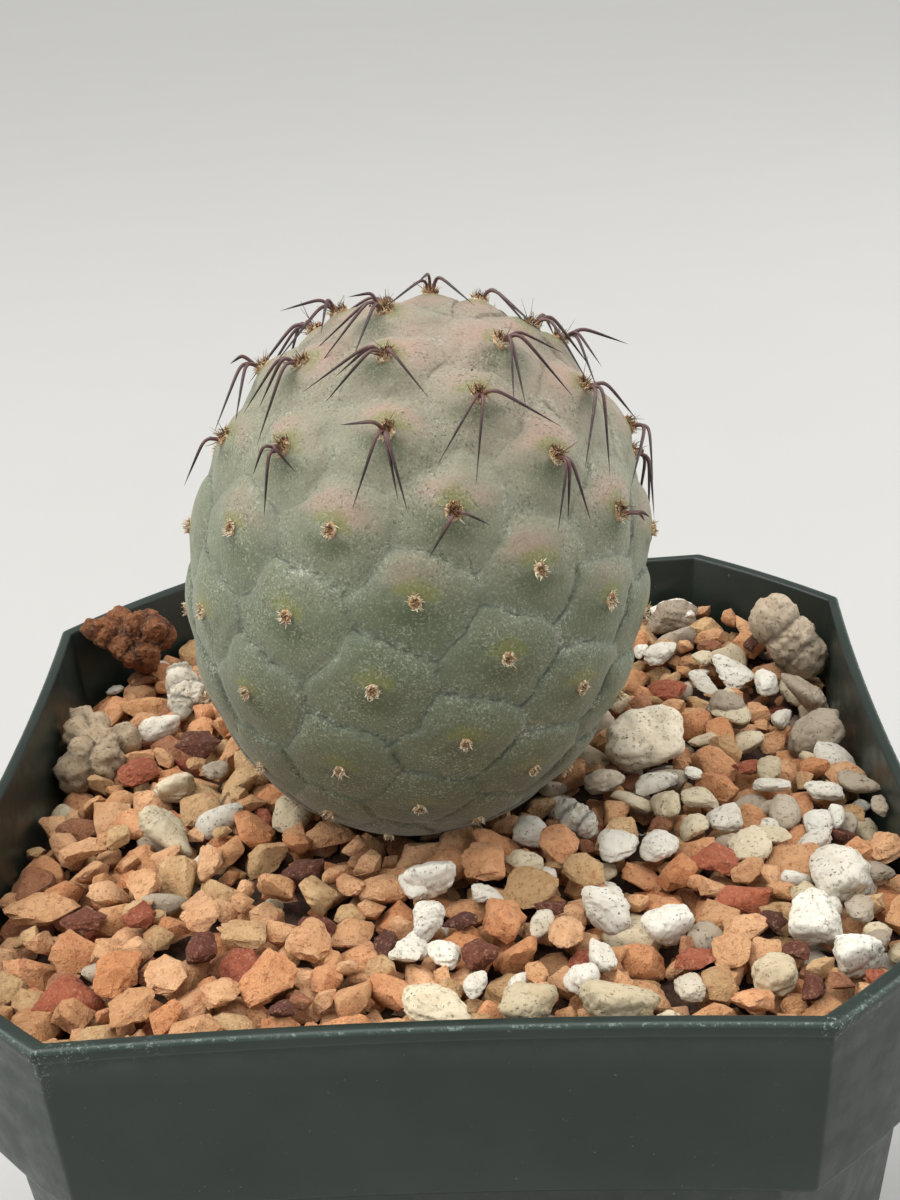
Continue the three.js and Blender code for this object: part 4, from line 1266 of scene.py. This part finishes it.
def make_bed(paint):
    steps = BED_SIDES
    rng = np.random.default_rng(23)
    half = RIM_HALF - COLLAR_TAPER - WALL - BED_GAP
    outline = pot_outline()
    turn = np.linspace(0, len(outline), steps, endpoint=False).astype(int)
    edge = outline[turn] * half
    floor = FOOT_HEIGHT + FLOOR_THICKNESS + 0.3
    floor_share = (BASE_HALF - WALL - BED_GAP) / half
    body_share = (half - COLLAR_STEP) / half
    step_height = POT_HEIGHT - COLLAR_HEIGHT + WALL + 0.3
    sides = [(floor_share, floor), (body_share, step_height), (1, step_height)]
    rings = [np.column_stack([edge * share, np.full(steps, height)]) for share, height in sides]
    for share in np.linspace(1, 0.02, BED_RINGS):
        flat = edge * share
        level = grit_level(flat[:, 0], flat[:, 1]) - BED_DEPTH
        points = np.column_stack([flat, level])
        gap, _ = stem_gap(points)
        for _ in range(6):
            points[:, 2] -= np.maximum(0.8 - gap, 0)
            gap, _ = stem_gap(points)
        points[:, 2] += 0.5 * ripples(rng, points, 9, 1) * (gap > 2)
        rings.append(points)
    points = np.concatenate(rings)
    add_object("soil_bed", points, closed_faces(len(rings), steps), [paint], "grit_clay")


def bed_paint():
    paint = Paint("dark_soil", 1.0, EARTH["wet soil"])
    paint.over(EARTH["soil"], paint.patches((1.5, 4, 0.7), (0.35, 0.65)))
    paint.bump(paint.noise(0.9, 4, 0.7), 0.5)
    return paint.material


# Pot


def pot_outline():
    """The outline of a pot whose half width is 1, with each corner rounded a little."""
    inset = CORNER_ROUNDING / STRAIGHT_HALF
    along = np.sin(np.pi / 2 * np.linspace(-1, 1, SIDE_STEPS)) * (1 - inset)
    side = np.stack([RIM_HALF - SIDE_BOW * (1 - along**2), STRAIGHT_HALF * along], 1)
    start, end = np.array([RIM_HALF, STRAIGHT_HALF]), np.array([STRAIGHT_HALF, RIM_HALF])
    length = np.linalg.norm(end - start)
    even = 0.5 - 0.5 * np.cos(np.pi * np.linspace(0, 1, CORNER_STEPS))[:, None]
    share = mixed(CORNER_ROUNDING / length, 1 - CORNER_ROUNDING / length, even)
    bulge = CORNER_BULGE * math.sqrt(2) * 4 * share * (1 - share) * np.array([1, 1]) / math.sqrt(2)
    corner = mixed(start, end, share) + bulge

    def rounded(before, tip, after):
        blend = np.array([0.25, 0.5, 0.75])[:, None]
        return (1 - blend) ** 2 * before + 2 * blend * (1 - blend) * tip + blend**2 * after

    into_corner = rounded(side[-1], start, corner[0])
    next_side = side[0] @ np.array([[0, 1], [-1, 0]])
    out_of_corner = rounded(corner[-1], end, next_side)
    quarter = np.concatenate([side, into_corner, corner, out_of_corner])
    quarters = []
    for turn in range(4):
        quarters.append(quarter)
        quarter = quarter @ np.array([[0, 1], [-1, 0]])
    return np.concatenate(quarters) / RIM_HALF


def pot_profile():
    """Half widths and heights from the middle of the foot's hollow, up the outside and down the inside."""
    collar_foot = POT_HEIGHT - COLLAR_HEIGHT
    collar = RIM_HALF - COLLAR_TAPER
    body = collar - COLLAR_STEP
    lip_foot = POT_HEIGHT - LIP_HEIGHT
    wall_top = RIM_HALF - LIP_STEP - COLLAR_TAPER * LIP_HEIGHT / COLLAR_HEIGHT
    floor_top = FOOT_HEIGHT + FLOOR_THICKNESS
    floor_half = mixed(BASE_HALF, body, floor_top / collar_foot) - WALL
    outside = [(6, FOOT_HEIGHT), (BASE_HALF - FOOT_WIDTH, FOOT_HEIGHT), (BASE_HALF - FOOT_WIDTH, 0.2)]
    outside += [(BASE_HALF - FOOT_WIDTH + 0.2, 0), (BASE_HALF - 0.4, 0), (BASE_HALF, 0.4)]
    outside += [(mixed(BASE_HALF, body, share), collar_foot * share) for share in (0.25, 0.5, 0.75)]
    outside += [(body, collar_foot - 0.5), (body + 0.4, collar_foot), (collar - 0.5, collar_foot)]
    outside += [(collar - 0.12, collar_foot + 0.15), (collar, collar_foot + 0.55)]
    for share in (0.2, 0.4, 0.6, 0.8, 1):
        outside.append((mixed(collar, wall_top, share), mixed(collar_foot + 0.55, lip_foot - 0.1, share)))
    outside += [(wall_top + LIP_STEP * 0.8, lip_foot + 0.05), (wall_top + LIP_STEP, lip_foot + 0.25)]
    outside += [(RIM_HALF, POT_HEIGHT - 0.5), (RIM_HALF - 0.06, POT_HEIGHT - 0.2)]
    outside += [(RIM_HALF - 0.22, POT_HEIGHT - 0.05), (RIM_HALF - 0.45, POT_HEIGHT)]
    inner = RIM_HALF - RIM_WIDTH
    inside = [(inner + 0.25, POT_HEIGHT), (inner + 0.05, POT_HEIGHT - 0.1), (inner, POT_HEIGHT - 0.35)]
    step = collar_foot + WALL
    for share in (0.25, 0.5, 0.75, 1):
        inside.append((mixed(inner, collar - WALL, share), mixed(POT_HEIGHT, step, share)))
    inside += [(body - WALL, step), (floor_half, floor_top), (6, floor_top)]
    return outside + inside


def make_pot(paint):
    outline = pot_outline()
    profile = pot_profile()
    columns = len(outline)
    rings = [np.column_stack([outline * half, np.full(columns, height)]) for half, height in profile]
    points = np.concatenate(rings)
    faces = list(ring_faces(len(profile), columns))
    last = (len(profile) - 1) * columns
    for column in range(columns):
        beside = (column + 1) % columns
        faces.append((beside, column, last + column, last + beside))
    lip = POT_HEIGHT - LIP_HEIGHT
    edge = [
        1.0 if height > POT_HEIGHT - 0.25 and half > RIM_HALF - 0.3 else 0.6 * (lip < height < lip + 0.1)
        for half, height in profile
    ]
    fields = {"wear": wear(points), "rim": np.repeat(edge, columns)}
    shell = add_object("pot_shell", points, faces, [paint], "pot_plastic", ["pot"], **fields)
    cut_drains(shell)


def cut_drains(shell):
    """Round holes through the floor, in its middle and towards its corners."""
    bm = bmesh.new()
    for x, y in ((0, 0), (1, 1), (1, -1), (-1, 1), (-1, -1)):
        place = Matrix.Translation(Vector((x * DRAIN_PLACE, y * DRAIN_PLACE, FOOT_HEIGHT)) * MM)
        radius, depth = DRAIN_RADIUS * MM, 3 * FLOOR_THICKNESS * MM
        bmesh.ops.create_cone(
            bm, cap_ends=True, segments=DRAIN_SIDES, radius1=radius, radius2=radius, depth=depth, matrix=place
        )
    mesh = bpy.data.meshes.new("drains")
    bm.to_mesh(mesh)
    bm.free()
    cutter = bpy.data.objects.new("drains", mesh)
    bpy.context.scene.collection.objects.link(cutter)
    cut = shell.modifiers.new("drains", "BOOLEAN")
    cut.operation, cut.object = "DIFFERENCE", cutter
    scene_state = bpy.context.evaluated_depsgraph_get()
    shell.data = bpy.data.meshes.new_from_object(shell.evaluated_get(scene_state))
    shell.modifiers.clear()
    bpy.data.objects.remove(cutter)


def wear(points):
    total = np.zeros(len(points))
    for place, reach, strength in RUBBED:
        away = np.linalg.norm(points - np.array(place), axis=1) / reach
        total = np.maximum(total, strength * np.exp(-(away**2)))
    return total


def pot_paint():
    paint = Paint("pot_plastic", 0.4, PLASTIC["dark"])
    worn, rim = paint.attribute("wear"), paint.attribute("rim")
    paint.over(PLASTIC["green"], paint.patches((22, 3), (0.35, 0.65)))
    paint.over(PLASTIC["haze"], paint.patches((6, 4, 0.7), (0.48, 0.75)), 0.07)
    paint.over(PLASTIC["dust"], paint.patches((0.7, 3, 0.8), (0.69, 0.73)), 0.4)
    scuffs = paint.patches((0.4, 4, 0.85), (0.56, 0.62))
    paint.over(PLASTIC["scuff"], scuffs, paint.ramp(worn, 0.25, 0.8), 0.8)
    chips = paint.patches((0.8, 4, 0.85), (0.52, 0.62))
    paint.over(PLASTIC["chip"], chips, paint.ramp(rim, 0.5, 1.0), 0.6)
    paint.over(PLASTIC["rim"], paint.ramp(rim, 0.0, 0.6), 0.18)
    paint.feed(paint.shader.inputs["Roughness"], paint.patches((3, 4), (0.3, 0.7, 0.32, 0.48)))
    paint.bump(paint.noise(0.5, 3, 0.7), 0.015)
    paint.shader.inputs["Specular IOR Level"].default_value = POT_SHINE
    return paint.material


# Room


def make_room():
    bm = bmesh.new()
    bmesh.ops.create_circle(bm, cap_ends=True, radius=FLOOR_RADIUS, segments=96)
    mesh = bpy.data.meshes.new("floor")
    bm.to_mesh(mesh)
    bm.free()
    paint = Paint("pale_floor", 0.9, FLOOR_TONES[0])
    paint.over(FLOOR_TONES[1], paint.patches((60, 3), (0.3, 0.7)))
    mesh.materials.append(paint.material)
    floor = bpy.data.objects.new("floor", mesh)
    bpy.context.scene.collection.objects.link(floor)
    floor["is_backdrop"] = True


def add_lamp(kind, place, aim, power, tint, setting):
    data = bpy.data.lights.new(kind.lower(), kind)
    data.energy = power
    data.color = tint
    setattr(data, *setting)
    lamp = bpy.data.objects.new(data.name, data)
    lamp.location = place
    lamp.rotation_mode = "QUATERNION"
    lamp.rotation_quaternion = (Vector(aim) - Vector(place)).to_track_quat("-Z", "Y")
    bpy.context.scene.collection.objects.link(lamp)


def light_room():
    world = bpy.data.worlds.new("studio")
    bpy.context.scene.world = world
    world.use_nodes = True
    sky = world.node_tree.nodes["Background"]
    sky.inputs["Color"].default_value = SKY
    sky.inputs["Strength"].default_value = SKY_STRENGTH
    for lamp in LAMPS:
        add_lamp(*lamp)
    view = bpy.context.scene.view_settings
    view.view_transform = "Standard"
    view.look = "None"


# The whole scene

make_camera()
make_room()
light_room()
loose_nodes = sorted(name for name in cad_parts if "pumice" in name or name == "clay_clump")
clay_material, pumice_material = clay_paint(), pumice_paint()
make_pot(pot_paint())
make_bed(bed_paint())
make_stem(stem_paint())
make_areoles(wool_paint(), spine_paint())
make_heap(loose_nodes, clay_material, pumice_material)
make_loose_stones(loose_nodes, pumice_material, clay_material)

boxes = {"cad": cad_box, "visual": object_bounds()}
{name: [list(corner) for corner in box] for name, box in boxes.items()}
